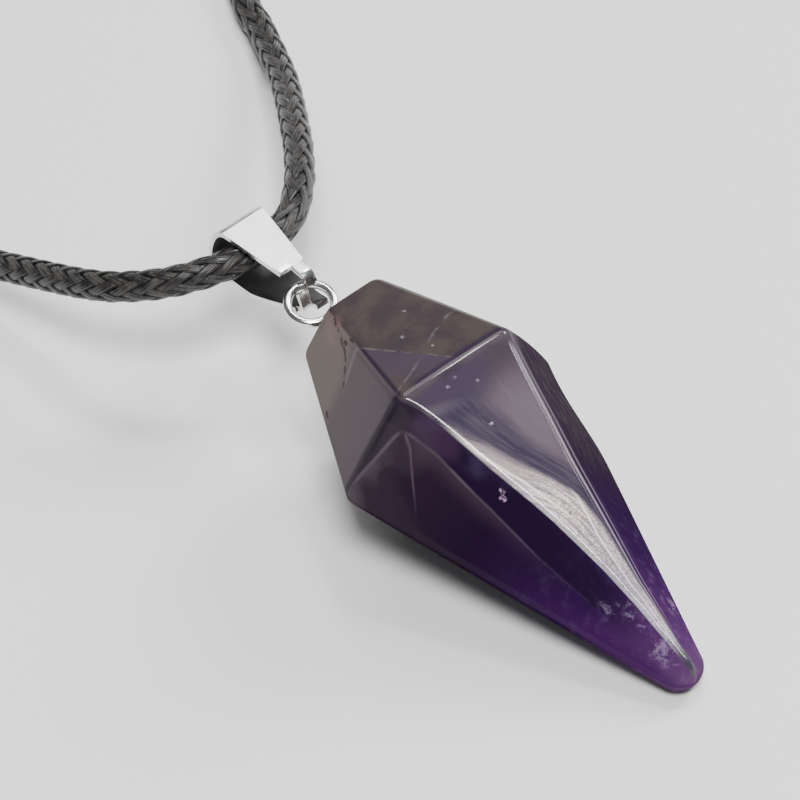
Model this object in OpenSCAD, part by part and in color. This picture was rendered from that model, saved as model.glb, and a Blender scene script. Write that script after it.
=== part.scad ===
// Hexagonal crystal pendant on a round braided cord, laid down flat. All sizes are in millimetres.
// The crystal lies on one long facet, the bail stands off its eye, and the cord runs through the bail,
// comes down to the surface on both sides and closes in a barrel clasp at the far end of the loop.

/* [Crystal] */
// Width across the corners of the girdle, the widest ring of the crystal
girdle_w = 16; // [14:0.5:17]
// Distance from the girdle to the point where the long facets would meet
long_h = 26.6; // [25:0.2:32]
// Distance from the girdle to the cut top
short_h = 9.8; // [8:0.2:12]
// Width of the cut top as a share of the girdle's
top_share = 0.45; // [0.4:0.01:0.6]
// Radius that the corners of the girdle are polished to
girdle_round = 0.7; // [0.4:0.1:1]
// Radius that the corners of the cut top are polished to
top_round = 0.9; // [0.5:0.1:1.2]
// Radius of the blunt tip
tip_round = 1.5; // [1:0.1:2]

/* [Eye pin] */
// Thickness of the pin's wire
wire_d = 0.55; // [0.4:0.05:0.55]
// Outer width of the eye
eye_w = 3.4; // [3.4:0.1:4]
// Length of bare pin between the cut top and the eye
pin_neck = 1; // [0.6:0.1:2]
// Depth of the pin in the crystal
pin_depth = 6; // [4:0.5:8]
// Distance of the drilled hole from the crystal's axis, sideways
pin_side = -0.8; // [-1:0.1:1]
// Distance of the drilled hole from the crystal's axis, towards the facet that the crystal lies on
pin_low = 0.6; // [0:0.1:1]

/* [Bail] */
// Width of the bail at its fold
bail_w = 3.1; // [2.8:0.1:3.4]
// Width of each leaf at its shoulder
shoulder_w = 1.8; // [1.7:0.1:2]
// Thickness of the steel sheet
sheet_t = 0.35; // [0.3:0.05:0.35]
// Distance that the bail has slid sideways in the eye
bail_side = 0.36; // [0.3:0.02:0.4]

/* [Cord] */
// Diameter of the braided cord
cord_d = 2; // [1.8:0.1:2]

/* [Clasp] */
// Diameter of the barrel clasp
clasp_d = 3.4; // [3.2:0.1:4]
// Length of the barrel clasp
clasp_l = 16; // [14:1:18]
// Depth of the socket at each end
socket_l = 5; // [4:0.5:6]

/* [Hidden] */

// Middle of the girdle's place in the frame, whose origin is under the middle of the whole loop
girdle_x = 88.3;
girdle_y = -3.5;
// Room round the pin and the cord in their holes, on the radius, and behind the cord's end
hole_gap = 0.1;
cord_gap = 0.15;
end_gap = 0.2;

// The hexagon's half width across flats, and how far the facets lean in towards the axis
apothem = girdle_w / 2 * cos(30);
long_lean = atan(apothem / long_h);
short_lean = atan(apothem * (1 - top_share) / short_h);
// The girdle's polishing balls touch the four facets that meet at each corner
lean_sum = sin(long_lean + short_lean);
girdle_in = girdle_round * (sin(long_lean) + sin(short_lean)) / lean_sum;
girdle_shift = girdle_round * (cos(long_lean) - cos(short_lean)) / lean_sum;
// The cut top's balls touch the cut and the two short facets beside them
top_s = -short_h + top_round;
top_in = apothem * (1 + top_s * (1 - top_share) / short_h) - top_round / cos(short_lean);
// The tip's ball touches all six long facets
tip_s = long_h - tip_round / sin(long_lean);

// The eye's middle along the crystal's axis, then its place in the frame
wire_r = wire_d / 2;
eye_r = eye_w / 2 - wire_r;
eye_s = -(short_h + pin_neck + eye_w / 2);
eye_x = girdle_x + eye_s * cos(long_lean) - pin_low * sin(long_lean);
eye_y = girdle_y + pin_side;
eye_z = apothem * cos(long_lean) - eye_s * sin(long_lean) - pin_low * cos(long_lean);
// The wire of the eye starts in the straight pin and ends this many degrees short of it
eye_start = 11;
eye_open = 19;

// The bail's sheet seen from the side, along the middle of its thickness. X runs towards the crystal
// and Y is up, from the middle of the eye. The sheet has a crease where the front leaf meets the fold.
front_shoulder = [-2.1, 1.35];
fold_ribs = [
    [-6.9, 1.93], [-7.5, 1.63], [-8.05, 1.07], [-8.55, 0.3], [-8.93, -0.5], [-9.12, -1.2],
    [-8.92, -1.78], [-8.38, -2.12], [-7.6, -2.22], [-6.9, -2.2], [-5.2, -2.08], [-3.7, -1.72],
    [-2.4, -1.3], [-1.1, -0.93]
];
ledge_end = [-0.1, -0.7];
fold_step = 0.4;
// Each prong beyond its leaf: the front one bends down on the +Y half, the back one up on the other
front_prong = [[-1.5, 1.29], [-1.3, 1.19], [-1.17, 1.04], [-0.76, 0.72]];
back_prong = [[-0.9, -0.88], [-0.76, -0.78], [-0.69, -0.62], [-0.68, -0.45], [-0.85, 0.65]];
back_cut_x = -0.98;
prong_gap = 0.06;
prong_w = 0.7;
// The back leaf narrows later than the front one: its width here is this share of the fold's
back_waist = [-5.2, 0.98];
back_hip = [-2.4, 0.72];
// How far the leaves' plans pass the sheet's ends, and the share of the front leaf that roots its prong
plan_spare = 0.2;
root_share = 0.1;

// The clasp lies along Y at the far end of the loop
clasp_x = -108;
clasp_z = clasp_d / 2;
// The cord runs straight in the clasp's sockets and just outside them
cord_end_y = clasp_l / 2 - socket_l + end_gap;
mouth_y = clasp_l / 2 + 0.4;
bow_y = mouth_y + 2.1;
bow_x = clasp_x + 0.1;
bow_z = clasp_z - 0.1;

// Height of the cord's middle where the cord lies on the surface
lay_z = cord_d / 2;
// The cord's route on the surface, from the clasp towards the bail, and on the other side back again
OUTWARD = [
    [clasp_x, -cord_end_y, clasp_z], [clasp_x, -mouth_y, clasp_z], [bow_x, -bow_y, bow_z],
    [-103.5, -20.5, lay_z], [-95, -32.5, lay_z], [-82.5, -43, lay_z], [-66, -50, lay_z],
    [-47, -52, lay_z], [-28, -48.5, lay_z], [-9.5, -41.5, lay_z], [8, -32.5, lay_z],
    [37, -18.6, lay_z]
];
HOMEWARD = [
    [39, 15.6, lay_z], [8, 31.5, lay_z], [-9.5, 40.5, lay_z], [-28, 48, lay_z],
    [-47, 52, lay_z], [-66, 50, lay_z], [-82.5, 43, lay_z], [-95, 32.5, lay_z],
    [-103.5, 20.5, lay_z], [bow_x, bow_y, bow_z], [clasp_x, mouth_y, clasp_z],
    [clasp_x, cord_end_y, clasp_z]
];
// Its rise to the bail, way through it and descent: X and Y from the eye, and the share of the full rise
THROUGH = [
    [-32.8, -11.9, 0.02], [-28.4, -10.6, 0.13], [-24.8, -9.8, 0.27], [-21.2, -9.3, 0.43],
    [-13.4, -7.9, 0.76], [-9.9, -6.4, 0.89], [-7.3, -4, 0.98], [-6.1, -0.5, 1],
    [-6.9, 3.3, 0.96], [-9.7, 6.2, 0.87], [-12.9, 8.4, 0.74], [-16.1, 10.3, 0.6],
    [-22.7, 13.9, 0.29], [-26.2, 15.5, 0.15], [-30.6, 17.3, 0.03]
];
// In the bail the cord's middle is a little higher than the eye's
rise = eye_z + 0.23 - lay_z;
ROUTE = concat(
    OUTWARD,
    [for (p = THROUGH) [eye_x + p.x, eye_y + p.y, lay_z + p.z * rise]],
    HOMEWARD
);
// Longest stretch between two rings of the cord's tube, and its number of sides
ring_step = 6.8;
cord_sides = 8;

// A unit vector along v
function unit(v) = v / norm(v);

// Point at share t of the stretch between b and c, on a smooth curve that also heeds a and d
function smooth_point(a, b, c, d, t) =
    0.5 * (2 * b + (c - a) * t + (2 * a - 5 * b + 4 * c - d) * t * t
        + (3 * b - a - 3 * c + d) * t * t * t);

// The route with points added where two of its points lie more than step apart
function smooth_route(p, step) = [
    for (i = [0 : len(p) - 2])
        let(
            a = i > 0 ? p[i - 1] : 2 * p[0] - p[1],
            d = i < len(p) - 2 ? p[i + 2] : 2 * p[i + 1] - p[i],
            n = ceil(norm(p[i + 1] - p[i]) / step)
        )
        for (k = [0 : n - 1]) smooth_point(a, p[i], p[i + 1], d, k / n),
    p[len(p) - 1]
];

// Corners of the tube's ring at point i: its flats stand r from the middle, one of them underneath
function tube_ring(p, i, r, sides) =
    let(
        ahead = unit(p[min(i + 1, len(p) - 1)] - p[max(i - 1, 0)]),
        side = unit(cross([0, 0, 1], ahead)),
        up = cross(ahead, side),
        corner_r = r / cos(180 / sides)
    )
    [for (k = [0 : sides - 1])
        let(a = 360 * (k + 0.5) / sides)
        p[i] + corner_r * (cos(a) * side + sin(a) * up)];

// Both edges of a sheet of thickness t that follows the points p in its plane, as one closed outline
function edge_point(p, i, shift) =
    let(
        before = unit(p[i] - p[max(i - 1, 0)] + (i == 0 ? p[1] - p[0] : [0, 0])),
        after = i == len(p) - 1 ? before : unit(p[i + 1] - p[i]),
        mean = unit(before + after)
    )
    p[i] + shift / (mean * before) * [-mean.y, mean.x];
function sheet_outline(p, t) = concat(
    [for (i = [0 : len(p) - 1]) edge_point(p, i, t / 2)],
    [for (i = [len(p) - 1 : -1 : 0]) edge_point(p, i, -t / 2)]
);

// The crystal's own frame, axis along X with the tip ahead, laid down on a long facet
module lay_crystal() {
    translate([girdle_x, girdle_y, apothem * cos(long_lean)])
        rotate([0, long_lean, 0])
            children();
}

// Six balls on a ring at distance s along the axis
module corner_balls(s, half_flats, r) {
    for (k = [0 : 5])
        rotate([60 * k, 0, 0])
            translate([s, half_flats / cos(30), 0])
                sphere(r = r, $fn = 32);
}

// The faceted stone, with the hole that the eye pin is glued into
module crystal() {
    color([0.36, 0.24, 0.46])
        lay_crystal()
            difference() {
                hull() {
                    corner_balls(girdle_shift, apothem - girdle_in, girdle_round);
                    corner_balls(top_s, top_in, top_round);
                    translate([tip_s, 0, 0]) sphere(r = tip_round, $fn = 32);
                }
                translate([-short_h - 1, pin_side, -pin_low])
                    rotate([0, 90, 0])
                        cylinder(r = wire_r + hole_gap, h = pin_depth + 1 + hole_gap, $fn = 24);
            }
}

// Steel wire bent to an eye, its end left a little open beside the straight pin
module eye_pin() {
    color([0.78, 0.78, 0.8])
        lay_crystal()
            translate([eye_s, pin_side, -pin_low]) {
                rotate([0, 0, -eye_start])
                    rotate_extrude(angle = 360 - eye_open - eye_start, $fn = 64)
                        translate([eye_r, 0]) circle(r = wire_r, $fn = 24);
                translate([eye_r - wire_r / 2, 0, 0])
                    rotate([0, 90, 0])
                        cylinder(r = wire_r, h = pin_depth - short_h - eye_s - eye_r, $fn = 24);
            }
}

// The sheet's outline pushed out sideways from y = low to y = high
module sheet_strip(points, low, high) {
    translate([0, high, 0])
        rotate([90, 0, 0])
            linear_extrude(high - low)
                polygon(sheet_outline(points, sheet_t));
}

// Both leaves seen from above, where each is as wide as the part: front above the middle, back below it
module leaf_plans() {
    far_x = fold_ribs[0].x - bail_w;
    half_w = bail_w / 2;
    half_s = shoulder_w / 2;
    linear_extrude(bail_w)
        polygon([
            [far_x, -half_w], [fold_ribs[0].x, -half_w], [front_shoulder.x + plan_spare, -half_s],
            [front_shoulder.x + plan_spare, half_s], [fold_ribs[0].x, half_w], [far_x, half_w]
        ]);
    translate([0, 0, -bail_w])
        linear_extrude(bail_w)
            polygon([
                [far_x, -half_w], [fold_ribs[0].x, -half_w], [back_waist.x, -half_w * back_waist.y],
                [back_hip.x, -half_w * back_hip.y], [back_cut_x, -half_s], [back_cut_x, 0],
                [ledge_end.x + plan_spare, 0], [ledge_end.x + plan_spare, half_s], [back_cut_x, half_s],
                [back_hip.x, half_w * back_hip.y], [back_waist.x, half_w * back_waist.y],
                [fold_ribs[0].x, half_w], [far_x, half_w]
            ]);
}

// The folded steel bail: its two prongs close side by side through the eye
module bail() {
    last_rib = fold_ribs[len(fold_ribs) - 1];
    root = front_shoulder + root_share * (fold_ribs[0] - front_shoulder);
    color([0.8, 0.8, 0.82])
        translate([eye_x, eye_y + bail_side, eye_z]) {
            intersection() {
                sheet_strip(
                    concat([front_shoulder], smooth_route(fold_ribs, fold_step), [ledge_end]),
                    -bail_w, bail_w);
                leaf_plans();
            }
            sheet_strip(concat([root, front_shoulder], front_prong), prong_gap / 2, prong_gap / 2 + prong_w);
            sheet_strip(concat([last_rib], back_prong), -prong_gap / 2 - prong_w, -prong_gap / 2);
        }
}

// The cord as one plain tube along its route
module cord() {
    points = [for (p = smooth_route(ROUTE, ring_step)) [p.x, p.y, max(p.z, lay_z)]];
    count = len(points);
    corners = [for (i = [0 : count - 1]) each tube_ring(points, i, cord_d / 2, cord_sides)];
    walls = [
        for (i = [0 : count - 2])
            for (k = [0 : cord_sides - 1])
                let(
                    a = i * cord_sides + k,
                    b = i * cord_sides + (k + 1) % cord_sides
                )
                each [[a, b, b + cord_sides], [a, b + cord_sides, a + cord_sides]]
    ];
    first = [for (k = [cord_sides - 1 : -1 : 0]) k];
    last = [for (k = [0 : cord_sides - 1]) (count - 1) * cord_sides + k];
    color([0.13, 0.13, 0.14])
        polyhedron(points = corners, faces = concat([first], walls, [last]));
}

// A plain steel barrel, with a socket at each end for the cord
module clasp() {
    edge = 0.4;
    half = clasp_l / 2;
    r = clasp_d / 2;
    bore_r = cord_d / 2 + cord_gap;
    color([0.78, 0.78, 0.8])
        translate([clasp_x, 0, clasp_z])
            rotate([90, 0, 0])
                rotate_extrude($fn = 64)
                    polygon([
                        [0, socket_l - half], [bore_r, socket_l - half], [bore_r, -half],
                        [r - edge, -half], [r, edge - half], [r, half - edge],
                        [r - edge, half], [bore_r, half], [bore_r, half - socket_l],
                        [0, half - socket_l]
                    ]);
}

crystal();
eye_pin();
bail();
cord();
clasp();
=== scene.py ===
# %% [markdown]
# # A hexagonal crystal pendant, dressed in Blender
#
# The pendant is a drilled six-sided stone on a folded steel bail and a round braided cord. Its
# solids were built and packed before, and they are the fixed frame of this scene: every length
# here is in metres and every place is the solids' own. This lesson gives each piece its real
# finish: the braid of the cord, the bent sheet of the bail, the polished wire of the eye, and
# above all the stone, which is smoky at one end and deep violet at the other.

import math

import bmesh
import bpy
from mathutils import Matrix, Vector


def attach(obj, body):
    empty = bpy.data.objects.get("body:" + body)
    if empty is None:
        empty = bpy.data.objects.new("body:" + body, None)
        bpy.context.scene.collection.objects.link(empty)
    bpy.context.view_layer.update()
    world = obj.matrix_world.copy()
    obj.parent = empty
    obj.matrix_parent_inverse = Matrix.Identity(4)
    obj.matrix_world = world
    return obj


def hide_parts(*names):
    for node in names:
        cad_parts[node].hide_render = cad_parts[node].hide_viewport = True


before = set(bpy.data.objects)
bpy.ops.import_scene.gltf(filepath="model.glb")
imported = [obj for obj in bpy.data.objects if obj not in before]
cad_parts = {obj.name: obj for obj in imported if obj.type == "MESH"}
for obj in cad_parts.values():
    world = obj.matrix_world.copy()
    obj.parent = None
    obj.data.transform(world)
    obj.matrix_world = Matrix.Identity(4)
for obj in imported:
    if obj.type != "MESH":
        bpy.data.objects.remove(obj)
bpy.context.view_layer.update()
MM = 0.001

# %% [markdown]
# ## The camera
#
# The photograph was taken from above and from one side with a long lens, so its lines hardly
# converge. The camera below was fitted to the corners of the stone: its azimuth and elevation say
# from where it looks, its roll how far the picture is tilted, and its place is fixed in the frame.
# Nothing is shifted, and there is no depth of field, so that every other view stays sharp too.

# %% The camera
CAMERA_AZIMUTH = math.radians(60.82)
CAMERA_ELEVATION = math.radians(44.91)
CAMERA_ROLL = math.radians(-12.18)
CAMERA_PLACE = Vector((0.2711, -0.10863, 0.22011))
CAMERA_LENS = 228.06
SENSOR_WIDTH = 36.0
NEAREST, FARTHEST = 0.01, 5.0


def placed(name, data):
    """An object of the data, linked into the scene."""
    thing = bpy.data.objects.new(name, data)
    bpy.context.scene.collection.objects.link(thing)
    return thing


def camera_axes():
    """Right, up and backward directions of the rolled camera."""
    back = Vector((
        math.sin(CAMERA_AZIMUTH) * math.cos(CAMERA_ELEVATION),
        -math.cos(CAMERA_AZIMUTH) * math.cos(CAMERA_ELEVATION),
        math.sin(CAMERA_ELEVATION),
    ))
    level_right = Vector((math.cos(CAMERA_AZIMUTH), math.sin(CAMERA_AZIMUTH), 0))
    level_up = back.cross(level_right)
    right = math.cos(CAMERA_ROLL) * level_right + math.sin(CAMERA_ROLL) * level_up
    up = math.cos(CAMERA_ROLL) * level_up - math.sin(CAMERA_ROLL) * level_right
    return right, up, back


def photo_camera():
    """The scene's camera, at the photograph's place and angle."""
    data = bpy.data.cameras.new("photo_camera")
    data.lens = CAMERA_LENS
    data.sensor_width = SENSOR_WIDTH
    data.clip_start = NEAREST
    data.clip_end = FARTHEST
    camera = placed("photo_camera", data)
    turn = Matrix(camera_axes()).transposed().to_4x4()
    camera.matrix_world = Matrix.Translation(CAMERA_PLACE) @ turn
    bpy.context.scene.camera = camera


photo_camera()
print("the camera stands", round(CAMERA_PLACE.z, 3), "m above the floor")

# %% [markdown]
# ## Where the stone and its eye are
#
# The cord hangs in the bail, the bail in the eye, and the eye is glued into the stone. So the
# stone's place comes before everything else. It has a frame of its own: the axis runs along X with
# the tip ahead, the girdle is at its zero, and the whole frame is tilted until the stone rests on
# one of its six long facets. The eye's middle is then a place in that frame.

# %% The stone and its eye
SIXTH = 60
GIRDLE_PLACE = Vector((88.3, -3.5, 0)) * MM
GIRDLE_RADIUS = 8.0 * MM
LONG_HEIGHT = 26.6 * MM
SHORT_HEIGHT = 9.8 * MM
TOP_SHARE = 0.45
APOTHEM = GIRDLE_RADIUS * math.cos(math.radians(SIXTH / 2))
LONG_LEAN = math.atan(APOTHEM / LONG_HEIGHT)

EYE_WIDTH = 3.4 * MM
WIRE_RADIUS = 0.275 * MM
PIN_NECK = 1.0 * MM
PIN_DEPTH = 6.0 * MM
PIN_SIDE = -0.8 * MM
PIN_LOW = 0.6 * MM


def stone_frame():
    """The stone's own frame: its axis along X, the tip ahead, on the long facet it lies on."""
    rest = Matrix.Translation(GIRDLE_PLACE + Vector((0, 0, APOTHEM * math.cos(LONG_LEAN))))
    return rest @ Matrix.Rotation(LONG_LEAN, 4, "Y")


STONE = stone_frame()
EYE_PLACE = Vector((-(SHORT_HEIGHT + PIN_NECK + EYE_WIDTH / 2), PIN_SIDE, -PIN_LOW))
EYE = STONE @ EYE_PLACE
print("the eye's middle is", round(EYE.z / MM, 2), "mm above the surface")

# %% [markdown]
# ## The cord's route
#
# The cord is the longest piece, so it is laid out first. Its points are the ones that the solid
# cord follows: out of the clasp, flat on the surface, up through the bail at the stone's eye, and
# back on the other side. A Bezier curve goes through them, and each handle is a sixth of the way
# between the two neighbouring points, which gives the same smooth curve as the solid has. Handles
# never dip under the height at which the cord lies, so the cord can't sink into the surface.

# %% The cord's route
CORD_RADIUS = 1.0 * MM
LAY_Z = CORD_RADIUS
CORD_OVER_EYE = 0.23 * MM
RISE = EYE.z + CORD_OVER_EYE - LAY_Z

CLASP_X = -108.0 * MM
CLASP_RADIUS = 1.7 * MM
CLASP_LENGTH = 16.0 * MM
SOCKET_DEPTH = 5.0 * MM
CORD_END_Y = CLASP_LENGTH / 2 - SOCKET_DEPTH + 0.2 * MM
MOUTH_Y = CLASP_LENGTH / 2 + 0.4 * MM
BOW_X = CLASP_X + 0.1 * MM
BOW_Y = MOUTH_Y + 2.1 * MM
BOW_Z = CLASP_RADIUS - 0.1 * MM

OUTWARD = [
    (-103.5, -20.5), (-95, -32.5), (-82.5, -43), (-66, -50), (-47, -52), (-28, -48.5),
    (-9.5, -41.5), (8, -32.5), (37, -18.6),
]
HOMEWARD = [
    (39, 15.6), (8, 31.5), (-9.5, 40.5), (-28, 48), (-47, 52), (-66, 50), (-82.5, 43),
    (-95, 32.5), (-103.5, 20.5),
]
THROUGH = [
    (-32.8, -11.9, 0.02), (-28.4, -10.6, 0.13), (-24.8, -9.8, 0.27), (-21.2, -9.3, 0.43),
    (-13.4, -7.9, 0.76), (-9.9, -6.4, 0.89), (-7.3, -4, 0.98), (-6.1, -0.5, 1),
    (-6.9, 3.3, 0.96), (-9.7, 6.2, 0.87), (-12.9, 8.4, 0.74), (-16.1, 10.3, 0.6),
    (-22.7, 13.9, 0.29), (-26.2, 15.5, 0.15), (-30.6, 17.3, 0.03),
]
CURVE_STEPS = 24


def lying(places):
    """Points of the cord where it lies flat."""
    return [Vector((x * MM, y * MM, LAY_Z)) for x, y in places]


def cord_points():
    """The route's points in order, from one socket of the clasp to the other."""
    leave = [
        Vector((CLASP_X, -CORD_END_Y, CLASP_RADIUS)),
        Vector((CLASP_X, -MOUTH_Y, CLASP_RADIUS)),
        Vector((BOW_X, -BOW_Y, BOW_Z)),
    ]
    over = [
        Vector((EYE.x + x * MM, EYE.y + y * MM, LAY_Z + share * RISE)) for x, y, share in THROUGH
    ]
    arrive = [Vector((p.x, -p.y, p.z)) for p in reversed(leave)]
    return leave + lying(OUTWARD) + over + lying(HOMEWARD) + arrive


def route_curve(name):
    """A Bezier curve along the route, as smooth as the solid cord."""
    points = cord_points()
    data = bpy.data.curves.new(name, "CURVE")
    data.dimensions = "3D"
    data.resolution_u = CURVE_STEPS
    spline = data.splines.new("BEZIER")
    spline.bezier_points.add(len(points) - 1)
    for i, (knot, place) in enumerate(zip(spline.bezier_points, points)):
        before = points[i - 1] if i else 2 * place - points[1]
        after = points[i + 1] if i + 1 < len(points) else 2 * place - points[-2]
        reach = (after - before) / 6
        knot.co = place
        knot.handle_left_type = knot.handle_right_type = "FREE"
        knot.handle_left = place - reach
        knot.handle_right = place + reach
        knot.handle_left.z = max(knot.handle_left.z, LAY_Z)
        knot.handle_right.z = max(knot.handle_right.z, LAY_Z)
    return placed(name, data)


route = route_curve("cord_route")
CORD_LENGTH = route.data.splines[0].calc_length()
print("the cord is", round(CORD_LENGTH / MM, 1), "mm long over", len(cord_points()), "points")

# %% [markdown]
# ## Small helpers
#
# Every new piece is a closed mesh with its place in its vertices, so its object stays at the
# origin. The helpers below turn a finished bmesh into such a piece, give it a material and let it
# ride on the pendant's one body. Others read a piece back with its modifiers done, and take away a
# helper object that has served.

# %% Helpers for pieces
def mesh_object(name, bm):
    """An object that takes over a bmesh."""
    mesh = bpy.data.meshes.new(name)
    bm.to_mesh(mesh)
    bm.free()
    return placed(name, mesh)


def finish_piece(name, bm, material):
    """Makes a bmesh a smooth piece of the pendant."""
    piece = mesh_object(name, bm)
    for face in piece.data.polygons:
        face.use_smooth = True
    piece.data.materials.append(material)
    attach(piece, "root")
    return piece


def baked_mesh(piece):
    """A new mesh of the piece as its modifiers leave it."""
    bpy.context.view_layer.update()
    graph = bpy.context.evaluated_depsgraph_get()
    return bpy.data.meshes.new_from_object(piece.evaluated_get(graph))


def triangle_count(piece):
    """Triangles of a piece, modifiers included."""
    mesh = baked_mesh(piece)
    mesh.calc_loop_triangles()
    count = len(mesh.loop_triangles)
    bpy.data.meshes.remove(mesh)
    return count


def baked_bmesh(piece):
    """A bmesh of the piece as its modifiers leave it."""
    mesh = baked_mesh(piece)
    bm = bmesh.new()
    bm.from_mesh(mesh)
    bpy.data.meshes.remove(mesh)
    return bm


def discard(thing):
    """Takes an object away together with its mesh."""
    mesh = thing.data
    bpy.data.objects.remove(thing)
    bpy.data.meshes.remove(mesh)


print("helpers for pieces ready")

# %% [markdown]
# ## Node helpers
#
# A material is a small graph. These helpers add a node and wire it in one line, so that a material
# reads as a recipe. An effect that several materials share becomes a node group, which hands out
# only values and colours, while the shader itself stays in each material.

# %% Helpers for nodes
def fill(tree, node, inputs):
    """Sets a node's inputs, or links them where the value comes from another node."""
    for key, value in inputs.items():
        if isinstance(value, bpy.types.NodeSocket):
            tree.links.new(value, node.inputs[key])
        else:
            node.inputs[key].default_value = value


def add_node(tree, kind, inputs=None, **settings):
    """Adds a node, sets its properties, then fills its inputs."""
    node = tree.nodes.new(kind)
    for name, value in settings.items():
        setattr(node, name, value)
    fill(tree, node, inputs or {})
    return node


def new_material(name):
    """A material with only a Principled shader and its output."""
    material = bpy.data.materials.new(name)
    material.use_nodes = True
    tree = material.node_tree
    tree.nodes.clear()
    shader = add_node(tree, "ShaderNodeBsdfPrincipled")
    add_node(tree, "ShaderNodeOutputMaterial", {"Surface": shader.outputs["BSDF"]})
    return material, tree, shader


def new_group(name, inputs, outputs):
    """A node group, from its numbers with their defaults and its outputs with their kinds."""
    group = bpy.data.node_groups.new(name, "ShaderNodeTree")
    for label, value in inputs.items():
        socket = group.interface.new_socket(
            label, in_out="INPUT", socket_type="NodeSocketFloat")
        socket.default_value = value
    for label, kind in outputs.items():
        group.interface.new_socket(label, in_out="OUTPUT", socket_type=kind)
    entry = group.nodes.new("NodeGroupInput")
    leave = group.nodes.new("NodeGroupOutput")
    return group, entry.outputs, leave


def own_place(tree):
    """The place on the piece, which its pattern keeps to in every view."""
    return add_node(tree, "ShaderNodeTexCoord").outputs["Object"]


def noise(tree, vector, scale, detail=3.0, roughness=0.5, distortion=0.0):
    """Noise between 0 and 1."""
    return add_node(tree, "ShaderNodeTexNoise", {
        "Vector": vector, "Scale": scale, "Detail": detail, "Roughness": roughness,
        "Distortion": distortion,
    }).outputs["Fac"]


def relief(tree, height, strength, depth):
    """The normal of a surface with a fine height."""
    return add_node(tree, "ShaderNodeBump", {
        "Height": height, "Strength": strength, "Distance": depth,
    }).outputs["Normal"]


print("helpers for nodes ready")

# %% [markdown]
# ## Masks
#
# A mask says where an effect shows on the surface, from 0 for nowhere to 1 for fully. Masks are
# multiplied where all of them have to agree, and the largest counts where one of them will do.
# A soft step and a soft stripe are the two masks that most of this stone is drawn with.

# %% Helpers for masks
def math_node(tree, operation, a, b=0.0, c=0.0, clamp=False):
    """One sum on two or three sockets or numbers."""
    node = add_node(tree, "ShaderNodeMath", {0: a, 1: b, 2: c},
                    operation=operation, use_clamp=clamp)
    return node.outputs["Value"]


def minus(tree, value, other):
    """The first value less the other."""
    return math_node(tree, "SUBTRACT", value, other)


def scaled(tree, value, factor, shift):
    """A value times a factor, and then shifted."""
    return math_node(tree, "MULTIPLY_ADD", value, factor, shift)


def times(tree, *masks):
    """The product of several masks."""
    whole = masks[0]
    for mask in masks[1:]:
        whole = math_node(tree, "MULTIPLY", whole, mask)
    return whole


def most(tree, *masks):
    """The largest of several masks."""
    whole = masks[0]
    for mask in masks[1:]:
        whole = math_node(tree, "MAXIMUM", whole, mask)
    return whole


def step_up(tree, value, low, high):
    """A mask that rises smoothly from 0 at low to 1 at high."""
    return add_node(tree, "ShaderNodeMapRange", {
        "Value": value, "From Min": low, "From Max": high,
    }, interpolation_type="SMOOTHSTEP").outputs["Result"]


def stripe(tree, value, middle, width):
    """A mask that is 1 at the middle and falls to 0 at width from it."""
    away = math_node(tree, "ABSOLUTE", minus(tree, value, middle))
    return minus(tree, 1.0, step_up(tree, away, 0.0, width))


print("helpers for masks ready")

# %% [markdown]
# ## Colours
#
# A material is painted like a panel: a ground first, then one thin glaze after another, each laid
# on only where its masks allow. So every finish below can be read as a list of glazes.

# %% Helpers for colours
def ramp(tree, factor, stops):
    """A colour ramp from (position, colour) stops."""
    node = add_node(tree, "ShaderNodeValToRGB", {"Fac": factor})
    elements = node.color_ramp.elements
    while len(elements) < len(stops):
        elements.new(1.0)
    for element, (position, colour) in zip(elements, stops):
        element.position = position
        element.color = (*colour, 1.0)
    return node.outputs["Color"]


def mixed(tree, share, first, second):
    """A colour between two colours."""
    colours = [
        colour if isinstance(colour, bpy.types.NodeSocket) else (*colour, 1.0)
        for colour in (first, second)
    ]
    node = add_node(tree, "ShaderNodeMix", {0: share, 6: colours[0], 7: colours[1]},
                    data_type="RGBA")
    return node.outputs[2]


def painted(tree, body, colour, *masks):
    """Lays a colour over the body as far as the product of the masks allows."""
    return mixed(tree, times(tree, *masks), body, colour)


print("helpers for colours ready")

# %% [markdown]
# ## Floor and light
#
# The stage is a plain pale floor. A polished stone and polished steel show mostly what they
# mirror, so each lamp stands where one surface mirrors it: the key lamp for the stone's left
# ridge, the side lamp for its right ridge, a large dim panel for the bail's front leaf, and a
# small lamp for the bright line along the girdle. The flat facets mirror only the dim sky, which
# leaves their colours deep.

# %% Floor and light
FLOOR_SIZE = 3.0
PENDANT = Vector((0.09, -0.003, 0.006))
LAMP_DISTANCE = 0.60
LAMPS = [  # name, way from the pendant, size, power
    ("key_lamp", (0.43, -0.14, 0.89), 0.18, 4.6),
    ("side_lamp", (0.02, 0.80, 0.60), 0.22, 2.8),
    ("panel_lamp", (-0.50, 0.32, 0.80), 0.34, 1.15),
    ("line_lamp", (-0.17, 0.38, 0.91), 0.09, 1.0),
]
SKY = {"Color": (0.95, 0.97, 1.0, 1), "Strength": 0.16}
PALE_PAPER = {"Base Color": (0.83, 0.82, 0.81, 1), "Roughness": 0.9, "Specular IOR Level": 0.2}


def stage_floor():
    """A pale matt floor under everything."""
    material, tree, shader = new_material("floor_paper")
    fill(tree, shader, PALE_PAPER)
    bm = bmesh.new()
    bmesh.ops.create_grid(bm, x_segments=1, y_segments=1, size=FLOOR_SIZE / 2)
    floor = mesh_object("floor", bm)
    floor.data.materials.append(material)


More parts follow.
